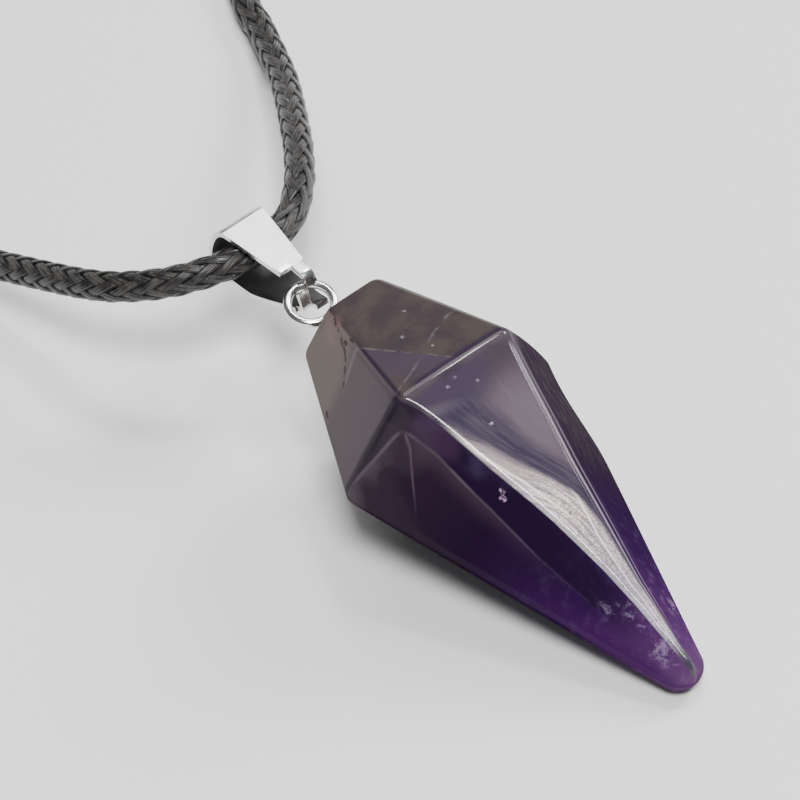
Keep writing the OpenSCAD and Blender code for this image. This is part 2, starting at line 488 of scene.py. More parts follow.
def soft_lamp(name, way, size, power):
    """A square area lamp that faces the pendant."""
    data = bpy.data.lights.new(name, "AREA")
    data.shape = "SQUARE"
    data.size = size
    data.energy = power
    lamp = placed(name, data)
    lamp.location = PENDANT + LAMP_DISTANCE * Vector(way)
    lamp.rotation_euler = (PENDANT - lamp.location).to_track_quat("-Z", "Y").to_euler()


def pale_sky():
    """An even pale world."""
    world = bpy.data.worlds.new("studio")
    world.use_nodes = True
    fill(world.node_tree, world.node_tree.nodes["Background"], SKY)
    bpy.context.scene.world = world


stage_floor()
for lamp in LAMPS:
    soft_lamp(*lamp)
pale_sky()
print("floor and", len(bpy.data.lights), "lamps")

# %% [markdown]
# ## Steel
#
# The bail, the eye and the clasp are polished stainless steel. Polished steel has almost no colour
# of its own; what tells the eye that it is metal are fine scratches from handling, and slightly
# duller, paler patches where fingers have been. The group below gives a dullness, a height and a
# tone for that, and each steel part places it with its own scale. Its brightness darkens the tone
# as painted shade, for the inside of the bail's fold.

# %% Handled steel
STEEL_TONES = [(0.3, (0.70, 0.69, 0.68)), (0.7, (0.85, 0.84, 0.825))]
SHADED_STEEL = (0.05, 0.05, 0.05)
BRUSHED = {"Rotation": (0.3, 0.2, 0.5), "Scale": (0.25, 3.0, 2.2)}
PER_METRE = 1 / MM
SMUDGES_PER_MM, SCRATCHES_PER_MM = 0.5, 3.0
SCRATCH_DULLNESS = 0.5
SCRATCH_DEPTH = 0.02 * MM


def handled_steel_group():
    """Dullness, height and tone of handled polished metal; a Brightness under 1 darkens the tone as
    painted shade.
    """
    group, entry, leave = new_group(
        "handled_steel",
        {"Scale": 1.0, "Polish": 0.12, "Wear": 0.2, "Brightness": 1.0},
        {"Dullness": "NodeSocketFloat", "Height": "NodeSocketFloat", "Tone": "NodeSocketColor"},
    )
    place = own_place(group)
    scale = times(group, entry["Scale"], PER_METRE)
    smudges = noise(group, place, times(group, scale, SMUDGES_PER_MM))
    brushed = add_node(group, "ShaderNodeMapping", {"Vector": place, **BRUSHED}).outputs["Vector"]
    scratches = noise(group, brushed, times(group, scale, SCRATCHES_PER_MM),
                      detail=5.0, roughness=0.7)
    dull = scaled(group, smudges, entry["Wear"], entry["Polish"])
    scored = times(group, scratches, entry["Wear"], SCRATCH_DULLNESS)
    tone = ramp(group, smudges, STEEL_TONES)
    fill(group, leave, {
        "Dullness": math_node(group, "ADD", dull, scored, clamp=True),
        "Height": scratches,
        # a Brightness under 1 mixes the tone towards SHADED_STEEL: painted shade
        "Tone": mixed(group, entry["Brightness"], SHADED_STEEL, tone),
    })
    return group


def steel_material(name, scale, polish, wear, bump, brightness=1.0):
    """Polished steel with its own amount of handling."""
    material, tree, shader = new_material(name)
    marks = add_node(tree, "ShaderNodeGroup", {
        "Scale": scale, "Polish": polish, "Wear": wear, "Brightness": brightness,
    }, node_tree=HANDLED_STEEL).outputs
    fill(tree, shader, {
        "Metallic": 1.0, "Base Color": marks["Tone"], "Roughness": marks["Dullness"],
        "Normal": relief(tree, marks["Height"], bump, SCRATCH_DEPTH),
    })
    return material


HANDLED_STEEL = handled_steel_group()
bail_steel = steel_material("bail_sheet_steel", scale=1.0, polish=0.06, wear=0.16, bump=0.35)
# the same steel for the inside of the fold, painted dark as painted shade
painted_shade_steel = steel_material("bail_painted_shade_steel", scale=1.0, polish=0.22, wear=0.2, bump=0.5,
                             brightness=0.22)
eye_steel = steel_material("eye_wire_steel", scale=1.6, polish=0.05, wear=0.14, bump=0.25)
clasp_steel = steel_material("clasp_barrel_steel", scale=0.7, polish=0.08, wear=0.2, bump=0.4)
print("four steels from one group")

# %% [markdown]
# ## The bail
#
# A bail of this kind is stamped from thin sheet and folded over the cord: a front leaf, a round
# fold, and a back leaf. Each leaf ends in a narrow prong, and the two prongs close side by side
# through the stone's eye. It is modelled as the real one is made. A row of edges, as wide as the
# sheet, is extruded from rib to rib along the fold, then only the lane of each prong goes on. The
# ribs are places in the bail's side view, in mm from the eye's middle.

# %% The bail's ribs
FRONT_SHOULDER = (-2.1, 1.35)
FOLD_RIBS = [
    (-6.9, 1.93), (-7.5, 1.63), (-8.05, 1.07), (-8.55, 0.3), (-8.93, -0.5), (-9.12, -1.2),
    (-8.92, -1.78), (-8.38, -2.12), (-7.6, -2.22), (-6.9, -2.2), (-5.2, -2.08), (-3.7, -1.72),
    (-2.4, -1.3), (-1.1, -0.93),
]
LEDGE_END = (-0.1, -0.7)
FRONT_PRONG = [(-1.55, 1.34), (-1.22, 1.32), (-1.0, 1.2), (-0.88, 0.98), (-0.76, 0.68)]
BACK_PRONG = [(-0.9, -0.88), (-0.76, -0.78), (-0.69, -0.62), (-0.68, -0.45), (-0.85, 0.65)]
BAIL_SIDE = 0.36 * MM
BAIL_HALF = 1.55
SHOULDER_HALF = 0.9
LANE_IN = 0.03
LANE_OUT = 0.73
LEAF_PIECES, FOLD_PIECES, PRONG_PIECES = 6, 4, 3
FOLD_X = FOLD_RIBS[0][0]
FRONT_WIDTHS = [(FOLD_X, BAIL_HALF), (FRONT_SHOULDER[0], SHOULDER_HALF)]
BACK_WIDTHS = [(FOLD_X, BAIL_HALF), (-5.2, 1.52), (-2.4, 1.116), (-0.98, SHOULDER_HALF)]


def smooth_line(points, pieces):
    """The points with others between them, on one smooth curve."""
    line = []
    for i in range(len(points) - 1):
        b, c = Vector(points[i]), Vector(points[i + 1])
        a = Vector(points[i - 1]) if i else 2 * b - c
        d = Vector(points[i + 2]) if i + 2 < len(points) else 2 * c - b
        for k in range(pieces):
            t = k / pieces
            line.append(0.5 * (2 * b + (c - a) * t + (2 * a - 5 * b + 4 * c - d) * t * t
                               + (3 * b - a - 3 * c + d) * t * t * t))
    line.append(Vector(points[-1]))
    return line


def between(x, stops):
    """Value at x from (x, value) stops, straight between them."""
    for (x0, v0), (x1, v1) in zip(stops, stops[1:]):
        if x <= x1:
            share = max(0.0, (x - x0) / (x1 - x0))
            return v0 + (v1 - v0) * share
    return stops[-1][1]


front_leaf = smooth_line([FRONT_SHOULDER, FOLD_RIBS[0]], LEAF_PIECES)
fold = smooth_line(FOLD_RIBS, FOLD_PIECES)
print("the bail's sheet has", len(front_leaf) + len(fold) - 1, "ribs")

# %% [markdown]
# ## From ribs to sheet
#
# Six rails run along the sheet, so that each prong has its own lane. The front leaf and the fold
# are extruded as a whole row, and at the end of each leaf only the edges in one lane go on as its
# prong. Beside the back prong the sheet ends in a short ledge.

# %% The bail's sheet
def rib_place(x, y, z):
    """A place on the bail from mm in its side view and across it."""
    return EYE + Vector((x * MM, BAIL_SIDE + y * MM, z * MM))


def bail_row(bm, edges, x, z, halves):
    """Extrudes a row of edges to the next rib and gives back the new edges."""
    grown = bmesh.ops.extrude_edge_only(bm, edges=edges)["geom"]
    verts = [item for item in grown if isinstance(item, bmesh.types.BMVert)]
    for vert, half in zip(sorted(verts, key=lambda v: v.co.y), halves):
        vert.co = rib_place(x, half, z)
    return [item for item in grown if isinstance(item, bmesh.types.BMEdge)]


def lanes(half):
    """Where the six rails of the sheet run at a rib."""
    return (-half, -LANE_OUT, -LANE_IN, LANE_IN, LANE_OUT, half)


def lane_edges(edges, low, high):
    """The edges of a row whose middle lies between two rails."""
    middle = EYE.y + BAIL_SIDE
    return [
        e for e in edges
        if low * MM < (e.verts[0].co.y + e.verts[1].co.y) / 2 - middle < high * MM
    ]


def prong(bm, edges, points, rails):
    """Extrudes the edges of one lane along a prong."""
    for point in smooth_line(points, PRONG_PIECES)[1:]:
        edges = bail_row(bm, edges, point.x, point.y, rails)


def bail_sheet():
    """The folded sheet without its thickness."""
    bm = bmesh.new()
    x, z = FRONT_SHOULDER
    row = [bm.verts.new(rib_place(x, y, z)) for y in lanes(SHOULDER_HALF)]
    first = [bm.edges.new(pair) for pair in zip(row, row[1:])]
    edges = first
    for point in front_leaf[1:]:
        half = between(point.x, FRONT_WIDTHS)
        edges = bail_row(bm, edges, point.x, point.y, lanes(half))
    for point in fold[1:]:
        half = BAIL_HALF if point.x < FOLD_X else between(point.x, BACK_WIDTHS)
        edges = bail_row(bm, edges, point.x, point.y, lanes(half))
    ledge = lane_edges(edges, 0, BAIL_HALF)
    root = lane_edges(edges, -LANE_OUT, -LANE_IN)
    bail_row(bm, ledge, *LEDGE_END, (LANE_IN, LANE_OUT, SHOULDER_HALF))
    prong(bm, root, [FOLD_RIBS[-1]] + BACK_PRONG, (-LANE_OUT, -LANE_IN))
    tongue = lane_edges(first, LANE_IN, LANE_OUT)
    prong(bm, tongue, [FRONT_SHOULDER] + FRONT_PRONG, (LANE_IN, LANE_OUT))
    bmesh.ops.recalc_face_normals(bm, faces=bm.faces)
    return bm


sheet_bm = bail_sheet()
print("the bail's sheet has", len(sheet_bm.faces), "faces")

# %% [markdown]
# ## Thickness and worn edges
#
# The sheet gets its thickness last, from a modifier, so that it stays even round every bend.
# Another modifier rounds the edges as wear does, and a third keeps the shading of the flat faces
# flat. The inside of the fold sees nothing but its own shadow, so it gets a duller steel whose tone
# is painted dark, as painted shade.

# %% The bail's finish
SHEET = 0.35 * MM


def soft_edges(piece, name, width, segments, degrees):
    """Rounds the edges that bend more than so many degrees, and keeps flat faces flat."""
    bevel = piece.modifiers.new(name, "BEVEL")
    bevel.width = width
    bevel.segments = segments
    bevel.limit_method = "ANGLE"
    bevel.angle_limit = math.radians(degrees)
    piece.modifiers.new("flat_faces", "WEIGHTED_NORMAL")


bail = finish_piece("bail_sheet", sheet_bm, bail_steel)
wall = bail.modifiers.new("wall", "SOLIDIFY")
wall.thickness = SHEET
wall.offset = 0
wall.use_even_offset = True
# the inside faces get the steel with painted shade
bail.data.materials.append(painted_shade_steel)
wall.material_offset = 1
soft_edges(bail, "worn_edges", width=0.05 * MM, segments=3, degrees=28)
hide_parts("bail")
print("bail:", triangle_count(bail), "triangles")

# %% [markdown]
# ## The eye
#
# The eye is a length of round wire, bent into a ring, with its straight end glued into the drilled
# stone. A circle is spun round the ring's middle for the bend, and a thin cylinder makes the
# straight pin. Both are capped, so the wire is solid, and the ring closes against the pin.

# %% The eye's wire
WIRE_SIDES = 20
RING_STEPS = 72
RING_RADIUS = EYE_WIDTH / 2 - WIRE_RADIUS
RING_START = math.radians(-2)
RING_SWEEP = math.radians(356)
QUARTER_TURN = math.radians(90)
PIN_FROM = RING_RADIUS - WIRE_RADIUS / 2
PIN_LENGTH = PIN_DEPTH - SHORT_HEIGHT - EYE_PLACE.x - RING_RADIUS
TOUCHING = 1e-7


def closed_up(bm):
    """Merges the bmesh's doubles and turns its faces outwards."""
    bmesh.ops.remove_doubles(bm, verts=bm.verts, dist=TOUCHING)
    bmesh.ops.recalc_face_normals(bm, faces=bm.faces)


def eye_wire():
    """Ring and pin of the eye."""
    bm = bmesh.new()
    stand = (Matrix.Rotation(RING_START, 4, "Z") @ Matrix.Translation((RING_RADIUS, 0, 0))
             @ Matrix.Rotation(QUARTER_TURN, 4, "X"))
    bmesh.ops.create_circle(bm, cap_ends=True, segments=WIRE_SIDES, radius=WIRE_RADIUS,
                            matrix=stand)
    bmesh.ops.spin(bm, geom=bm.faces[:] + bm.edges[:] + bm.verts[:], cent=(0, 0, 0),
                   axis=(0, 0, 1), angle=RING_SWEEP, steps=RING_STEPS, use_merge=False)
    along = (Matrix.Translation((PIN_FROM + PIN_LENGTH / 2, 0, 0))
             @ Matrix.Rotation(QUARTER_TURN, 4, "Y"))
    bmesh.ops.create_cone(bm, cap_ends=True, segments=WIRE_SIDES, radius1=WIRE_RADIUS,
                          radius2=WIRE_RADIUS, depth=PIN_LENGTH, matrix=along)
    closed_up(bm)
    bmesh.ops.transform(bm, matrix=STONE @ Matrix.Translation(EYE_PLACE), verts=bm.verts)
    return bm


eye = finish_piece("eye_wire", eye_wire(), eye_steel)
soft_edges(eye, "cut_ends", width=0.05 * MM, segments=2, degrees=60)
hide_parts("eye_pin")
print("eye:", triangle_count(eye), "triangles")

# %% [markdown]
# ## The clasp
#
# The clasp is out of the photograph. It is a plain barrel with a socket at each end, where the
# cord's two ends are held. It is turned work, so it is made like turned work: half of its outline
# is spun once round its axis, with the corners broken before the spin.

# %% The clasp's barrel
CLASP_EDGE = 0.4 * MM
SOCKET_RADIUS = CORD_RADIUS + 0.15 * MM
LATHE_STEPS = 64


def clasp_barrel():
    """The barrel, turned about the Y axis."""
    half = CLASP_LENGTH / 2
    outline = [
        (0, half - SOCKET_DEPTH), (SOCKET_RADIUS, half - SOCKET_DEPTH), (SOCKET_RADIUS, half),
        (CLASP_RADIUS - CLASP_EDGE, half), (CLASP_RADIUS, half - CLASP_EDGE),
    ]
    bm = bmesh.new()
    verts = [bm.verts.new((CLASP_X + r, -y, CLASP_RADIUS)) for r, y in outline]
    verts += [bm.verts.new((CLASP_X + r, y, CLASP_RADIUS)) for r, y in reversed(outline)]
    edges = [bm.edges.new(pair) for pair in zip(verts, verts[1:])]
    bmesh.ops.spin(bm, geom=verts + edges, cent=(CLASP_X, 0, CLASP_RADIUS), axis=(0, 1, 0),
                   angle=math.tau, steps=LATHE_STEPS, use_merge=True)
    closed_up(bm)
    return bm


clasp = finish_piece("clasp_barrel", clasp_barrel(), clasp_steel)
soft_edges(clasp, "broken_edges", width=0.08 * MM, segments=3, degrees=30)
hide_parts("clasp")
print("clasp:", triangle_count(clasp), "triangles")

# %% [markdown]
# ## The braided cord
#
# The cord is a round braid of sixteen strands of black waxed yarn: eight wind to the right, eight
# to the left, and each goes over two of the others and under two. On the real cord this gives rows
# of slanted cells like a herringbone. One strand follows a helix whose radius swells where it
# passes over and shrinks where it passes under. The turns are counted so that a whole number of
# them fills the cord.

# %% A strand's path
NEAR_PITCH = 13.4 * MM
TURNS = round(CORD_LENGTH / NEAR_PITCH)
PITCH = CORD_LENGTH / TURNS
HAND_STRANDS = 8
BRAID_WAVES = HAND_STRANDS // 2
BRAID_RADIUS = 0.77 * MM
BRAID_SWELL = 0.085 * MM
CROSSING = math.radians(45)
STRAND_STEPS = 40


def strand_place(hand, start, step):
    """Place and turn of a strand's section at a step, for a right (1) or left (-1) hand."""
    along = PITCH * step / STRAND_STEPS
    angle = hand * math.tau * along / PITCH + start
    radius = BRAID_RADIUS + hand * BRAID_SWELL * math.cos(BRAID_WAVES * angle - CROSSING)
    tilt = hand * math.atan(math.tau * BRAID_RADIUS / PITCH)
    return (Matrix.Translation((along, 0, 0)) @ Matrix.Rotation(angle, 4, "X")
            @ Matrix.Translation((0, 0, radius)) @ Matrix.Rotation(-tilt, 4, "Z"))


print(TURNS, "turns of", round(PITCH / MM, 2), "mm")

# %% [markdown]
# ## One turn of the braid
#
# A strand is an oval that is extruded and moved, step by step, along its path. Every new face
# gets the yarn's own coordinates as it is made, along the strand and round it, so that the fine
# threads can follow the strand later. Only one turn is modelled, and it is repeated afterwards.

# %% One turn of the braid
STRAND_WIDTH = 0.62 * MM
STRAND_THICKNESS = 0.29 * MM
STRAND_SIDES = 8


def step_uv(face, uv, places, step):
    """Writes the yarn's coordinates on a new face: along the strand, and round it."""
    turn = [places[vert][0] for vert in face.verts]
    wraps = max(turn) - min(turn) > 1
    for loop in face.loops:
        around, ahead = places[loop.vert]
        around = STRAND_SIDES if wraps and around == 0 else around
        loop[uv].uv = ((step + ahead) / STRAND_STEPS, around / STRAND_SIDES)


def braid_turn(hand):
    """The strands of one hand over one turn, with the yarn's own coordinates as UV."""
    bm = bmesh.new()
    uv = bm.loops.layers.uv.new("yarn")
    oval = (Matrix.Diagonal((1, STRAND_WIDTH / 2, STRAND_THICKNESS / 2, 1))
            @ Matrix.Rotation(QUARTER_TURN, 4, "Y"))
    for strand in range(HAND_STRANDS):
        start = math.tau * strand / HAND_STRANDS
        verts = bmesh.ops.create_circle(bm, segments=STRAND_SIDES, radius=1.0,
                                        matrix=strand_place(hand, start, 0) @ oval)["verts"]
        around = {vert: i for i, vert in enumerate(verts)}
        edges = list({e for v in verts for e in v.link_edges})
        for step in range(STRAND_STEPS):
            grown = bmesh.ops.extrude_edge_only(bm, edges=edges)["geom"]
            verts = [g for g in grown if isinstance(g, bmesh.types.BMVert)]
            edges = [g for g in grown if isinstance(g, bmesh.types.BMEdge)]
            places = {vert: (i, 0) for vert, i in around.items()}
            for vert in verts:
                linked = [edge.other_vert(vert) for edge in vert.link_edges]
                places[vert] = (next(around[other] for other in linked if other in around), 1)
            move = strand_place(hand, start, step + 1) @ strand_place(hand, start, step).inverted()
            bmesh.ops.transform(bm, matrix=move, verts=verts)
            for face in {f for e in edges for f in e.link_faces}:
                step_uv(face, uv, places, step)
            around = {vert: places[vert][0] for vert in verts}
    bmesh.ops.recalc_face_normals(bm, faces=bm.faces)
    return bm


print("one hand of", HAND_STRANDS, "strands has", STRAND_SIDES * STRAND_STEPS, "faces a strand")

# %% [markdown]
# ## Waxed yarn
#
# Waxed yarn is nearly black, but never flat: each strand is made of fine threads that run along it,
# and the wax fills them unevenly. The threads are a fine bump that the light picks out, and painted
# shade in the grooves between them leaves single threads grey. The strand's own coordinates run
# along it and round it, so the threads are stretched along the strand and follow it through the
# braid. Painted shade also darkens each strand where it dives beside its neighbours.

# %% The yarn's material
BARE_YARN, WAXED_YARN = (0.015, 0.0145, 0.014), (0.062, 0.056, 0.052)
YARN_SHADOW = (0.004, 0.004, 0.004)
THREAD_DEPTH = 0.03 * MM
THREADS_AROUND = 62.0
THREAD_TWIST, THREAD_WANDER = 12.0, 2.6


def yarn_material():
    """Black waxed yarn with fine threads along each strand."""
    material, tree, shader = new_material("waxed_black_yarn")
    yarn = add_node(tree, "ShaderNodeUVMap", uv_map="yarn").outputs["UV"]
    axes = add_node(tree, "ShaderNodeSeparateXYZ", {"Vector": yarn})
    ahead, around = axes.outputs["X"], axes.outputs["Y"]

    # threads wind slowly round the strand and wander a little
    stretched = add_node(tree, "ShaderNodeMapping", {"Vector": yarn, "Scale": (14.0, 12.0, 1.0)})
    fibre = noise(tree, stretched.outputs["Vector"], 2.0, detail=4.0, roughness=0.6)
    wander = scaled(tree, fibre, THREAD_WANDER, times(tree, ahead, THREAD_TWIST))
    phase = scaled(tree, around, THREADS_AROUND, wander)
    thread = scaled(tree, math_node(tree, "SINE", phase), 0.5, 0.5)
    wax = noise(tree, own_place(tree), 1400.0, detail=4.0, roughness=0.6)

    crown = math_node(tree, "ABSOLUTE", math_node(tree, "SINE", times(tree, around, math.tau)))
    open_side = step_up(tree, crown, 0.25, 0.85)
    # painted shade: darker on each strand's sides, where it dives beside its neighbours, and in the
    # grooves between its threads
    shade = times(tree, scaled(tree, open_side, 0.85, 0.15), scaled(tree, thread, 0.35, 0.65))
    body = mixed(tree, step_up(tree, wax, 0.38, 0.68), BARE_YARN, WAXED_YARN)
    fill(tree, shader, {
        "Base Color": mixed(tree, shade, YARN_SHADOW, body),
        "Roughness": scaled(tree, wax, 0.9, -0.08),
        "Normal": relief(tree, scaled(tree, fibre, 0.8, thread), 0.8, THREAD_DEPTH),
        "Specular IOR Level": 0.42,
    })
    return material


waxed_yarn = yarn_material()
print("yarn material ready")

# %% [markdown]
# ## The braid along the route
#
# An array modifier repeats the turn, and a curve modifier bends the row along the route. On the
# side where the cord comes down from the bail the braid is drawn out, as the longer cells there
# show, so the row is stretched there before it is bent. The result is baked into one mesh, and the
# open ends of the strands are filled, so each strand is closed. The two hands of strands are two
# pieces, which keeps each of them light enough.

# %% The braid along the route
BAIL_KNOT = 19  # the route's point inside the bail
DRAWN_LENGTH = 36 * MM
DRAWN_OUT = 1.45
JOINING = 1e-6


def chord_sum(points):
    """The length of the straight lines from point to point."""
    return sum((b - a).length for a, b in zip(points, points[1:]))


def drawn_stops():
    """Where places on an even braid come to lie: drawn out beyond the bail, closer elsewhere."""
    points = cord_points()
    bail_at = CORD_LENGTH / chord_sum(points) * chord_sum(points[:BAIL_KNOT + 1])
    drawn_from = DRAWN_LENGTH / DRAWN_OUT
    closer = (CORD_LENGTH - DRAWN_LENGTH) / (CORD_LENGTH - drawn_from)
    start = bail_at / closer
    return [(0, 0), (start, bail_at), (start + drawn_from, bail_at + DRAWN_LENGTH),
            (CORD_LENGTH, CORD_LENGTH)]


def straight_braid(name, hand):
    """The row of turns on a straight line, already drawn out where it has to be."""
    strand = mesh_object(name, braid_turn(hand))
    rows = strand.modifiers.new("turns", "ARRAY")
    rows.count = TURNS
    rows.use_relative_offset = False
    rows.use_constant_offset = True
    rows.constant_offset_displace = (PITCH, 0, 0)
    rows.offset_u = 1.0
    rows.use_merge_vertices = True
    rows.merge_threshold = JOINING
    row = baked_bmesh(strand)
    discard(strand)
    stops = drawn_stops()
    for vert in row.verts:
        vert.co.x = between(vert.co.x, stops)
    return row


def laid_braid(name, hand):
    """One hand of strands along the whole route, as a closed mesh."""
    strand = mesh_object(name + "_row", straight_braid(name + "_turn", hand))
    bend = strand.modifiers.new("route", "CURVE")
    bend.object = route
    bend.deform_axis = "POS_X"
    whole = baked_bmesh(strand)
    discard(strand)
    open_edges = [e for e in whole.edges if e.is_boundary]
    bmesh.ops.holes_fill(whole, edges=open_edges, sides=STRAND_SIDES)
    return finish_piece(name, whole, waxed_yarn)


for name, hand in (("cord_strands_right", 1), ("cord_strands_left", -1)):
    strands = laid_braid(name, hand)
    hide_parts("cord")
    print(name + ":", triangle_count(strands), "triangles")

bpy.data.objects.remove(route)

# %% [markdown]
# ## The stone's shape
#
# The stone is a double-ended six-sided point. Its short end is cut flat and drilled, its long end
# comes to a blunt tip, and every ridge was tumbled a little round. A shape like this is the skin
# pulled tight over a few balls: six at the girdle, six at the cut top and one at the tip, each as
# big as the rounding there. The convex hull of those balls gives flat facets and round ridges at
# once. The facets are then joined into single faces, so that they shade flat.

# %% The stone's balls
SIDES = 6
SHORT_LEAN = math.atan(APOTHEM * (1 - TOP_SHARE) / SHORT_HEIGHT)
GIRDLE_ROUND = 0.7 * MM
TOP_ROUND = 0.9 * MM
TIP_ROUND = 1.5 * MM
LEAN_SUM = math.sin(LONG_LEAN + SHORT_LEAN)
GIRDLE_IN = GIRDLE_ROUND * (math.sin(LONG_LEAN) + math.sin(SHORT_LEAN)) / LEAN_SUM
GIRDLE_SHIFT = GIRDLE_ROUND * (math.cos(LONG_LEAN) - math.cos(SHORT_LEAN)) / LEAN_SUM
TOP_S = TOP_ROUND - SHORT_HEIGHT
TOP_IN = (APOTHEM * (1 + TOP_S * (1 - TOP_SHARE) / SHORT_HEIGHT)
          - TOP_ROUND / math.cos(SHORT_LEAN))
TIP_S = LONG_HEIGHT - TIP_ROUND / math.sin(LONG_LEAN)
JOINED_FLAT = math.radians(0.4)
RING_BALL, TIP_BALL = 20, 32


def ball(bm, place, radius, steps):
    """One ball, twice as many steps round it as from pole to pole."""
    bmesh.ops.create_uvsphere(bm, u_segments=2 * steps, v_segments=steps, radius=radius,
                              matrix=Matrix.Translation(place))


def ball_ring(bm, s, half_flats, radius):
    """Six balls on a ring at distance s along the stone's axis."""
    corner = half_flats / math.cos(math.radians(SIXTH / 2))
    for k in range(SIDES):
        angle = math.radians(SIXTH / 2 + SIXTH * k)
        ball(bm, (s, corner * math.sin(angle), corner * math.cos(angle)), radius, RING_BALL)


def tight_skin(bm):
    """Leaves only the convex hull of what the bmesh holds."""
    bmesh.ops.delete(bm, geom=bm.edges[:] + bm.faces[:], context="EDGES_FACES")
    hull = bmesh.ops.convex_hull(bm, input=bm.verts)
    spare = {
        item for item in hull["geom_interior"] + hull["geom_unused"]
        if isinstance(item, bmesh.types.BMVert)
    }
    bmesh.ops.delete(bm, geom=list(spare), context="VERTS")


def stone_hull():
    """The undrilled stone in its own frame, with flat facets."""
    bm = bmesh.new()
    ball_ring(bm, GIRDLE_SHIFT, APOTHEM - GIRDLE_IN, GIRDLE_ROUND)
    ball_ring(bm, TOP_S, TOP_IN, TOP_ROUND)
    ball(bm, (TIP_S, 0, 0), TIP_ROUND, TIP_BALL)
    tight_skin(bm)
    bmesh.ops.dissolve_limit(bm, angle_limit=JOINED_FLAT, verts=bm.verts, edges=bm.edges)
    return bm


stone_bm = stone_hull()
print("stone:", len(stone_bm.faces), "faces before it is cut into a grid")

# %% [markdown]
# ## A grid on the stone
#
# To be shaped, the stone first needs points to move. Planes cut the hull into a fine grid, across
# its axis and through it. Every face also gets its place on the stone as a UV map: U counts facets
# round the axis, starting at the left side ridge, and V is the distance from the girdle in mm,
# towards the tip. The map is written before any point moves, so it stays even on every facet.

# %% The stone's grid
GRID_STEP = 0.5 * MM
GRID_ANGLE = 5


def cut_grid(bm):
    """Cuts the hull across its axis and through it."""
    start, end = -SHORT_HEIGHT, TIP_S + TIP_ROUND
    stations = int((end - start) / GRID_STEP)
    planes = [((start + (i + 1) * GRID_STEP, 0, 0), (1, 0, 0)) for i in range(stations)]
    for angle in range(0, 180, GRID_ANGLE):
        turn = math.radians(angle)
        planes.append(((0, 0, 0), (0, math.cos(turn), -math.sin(turn))))
    for place, normal in planes:
        bmesh.ops.bisect_plane(bm, geom=bm.verts[:] + bm.edges[:] + bm.faces[:], dist=TOUCHING,
                               plane_co=place, plane_no=normal)


def turn_at(y, n):
    """Degrees round the axis from the left side ridge."""
    return (math.degrees(math.atan2(y, n)) + 90) % 360


def facet_map(bm):
    """Facet coordinates as UV: one to a facet round the axis, and mm along it."""
    uv = bm.loops.layers.uv.new("facets")
    for face in bm.faces:
        middle = face.calc_center_median()
        home = turn_at(middle.y, middle.z)
        for loop in face.loops:
            s, y, n = loop.vert.co
            turn = turn_at(y, n)
            turn += 360 * round((home - turn) / 360)
            loop[uv].uv = (turn / SIXTH, s / MM)


cut_grid(stone_bm)
facet_map(stone_bm)
print("stone:", len(stone_bm.faces), "faces in its grid")

# %% [markdown]
# ## A stone cut by hand
#
# No two facets of a hand-cut point are alike. On this stone the long facet that faces up is
# narrower than the rest: both of its ridges run inwards, and meet near the tip. One corner of the
# girdle is rounded a little inwards. Each facet is also a little crowned, as tumbling leaves it,
# which is why the light on it ends in a curve and not in a straight line. Each point of the grid
# moves with the two ridges that it lies between: it keeps its share of each of them.

# %% The stone's hand cut
CROWN = 0.018
CORNER_IN = 0.075
CORNER_REACH = 6.5 * MM
CORNER_S = 1.5 * MM
TOP_FADE, TIP_FADE = 2 * MM, 4 * MM
LEFT_RIDGE = [
    (0, -4), (0.5, -3.72), (1.3, -3.38), (3.4, -2.82), (6.2, -2.2), (8.8, -1.54), (10.5, -1.16),
    (14.4, -0.55), (17.3, -0.3), (19.4, -0.22), (21.5, -0.12),
]
RIGHT_RIDGE = [
    (0, 4), (0.8, 3.7), (3.1, 3.2), (4.8, 2.88), (8.4, 2.14), (12, 1.55), (16.1, 0.85),
    (20, 0.46),
]
RIDGES_END = 0.97 * TIP_S
RESTING_FACET = 4
ON_AXIS = 1e-6
EVEN_CORNERS = [
    Vector((math.sin(angle), math.cos(angle)))
    for angle in (math.radians(SIXTH * k - 90) for k in range(SIDES))
]


def facet_half(s):
    """Half the width of an even facet at s."""
    if s < 0:
        return GIRDLE_RADIUS / 2 * (1 + s * (1 - TOP_SHARE) / SHORT_HEIGHT)
    return GIRDLE_RADIUS / 2 * (1 - min(s, TIP_S) / LONG_HEIGHT)


def ridge_share(s, ridge):
    """Where a ridge of the upper facet runs, as a share of the facet's even half width."""
    s = min(max(s, 0), RIDGES_END)
    return between(s / MM, ridge) * MM / facet_half(s)


def moved_corners(s):
    """The six corners of the stone's section at s, for an even section of radius 1."""
    corners = list(EVEN_CORNERS)
    corners[1] = Vector((ridge_share(s, LEFT_RIDGE) / 2, EVEN_CORNERS[1].y))
    corners[2] = Vector((ridge_share(s, RIGHT_RIDGE) / 2, EVEN_CORNERS[2].y))
    near = max(0, 1 - ((s - CORNER_S) / CORNER_REACH) ** 2)
    corners[3] = EVEN_CORNERS[3] * (1 - CORNER_IN * near * near)
    return corners


def crowned(place, edge, share, size, s):
    """Lifts a place off the straight line of its facet, most in the middle."""
    fade = min(1, max(0, (SHORT_HEIGHT + s) / TOP_FADE), max(0, (TIP_S + TIP_ROUND - s) / TIP_FADE))
    rise = CROWN * 4 * share * (1 - share) * edge.length * size * fade
    outward = Vector((-edge.y, edge.x)).normalized() * (1 if edge.cross(place) > 0 else -1)
    return place + rise * outward


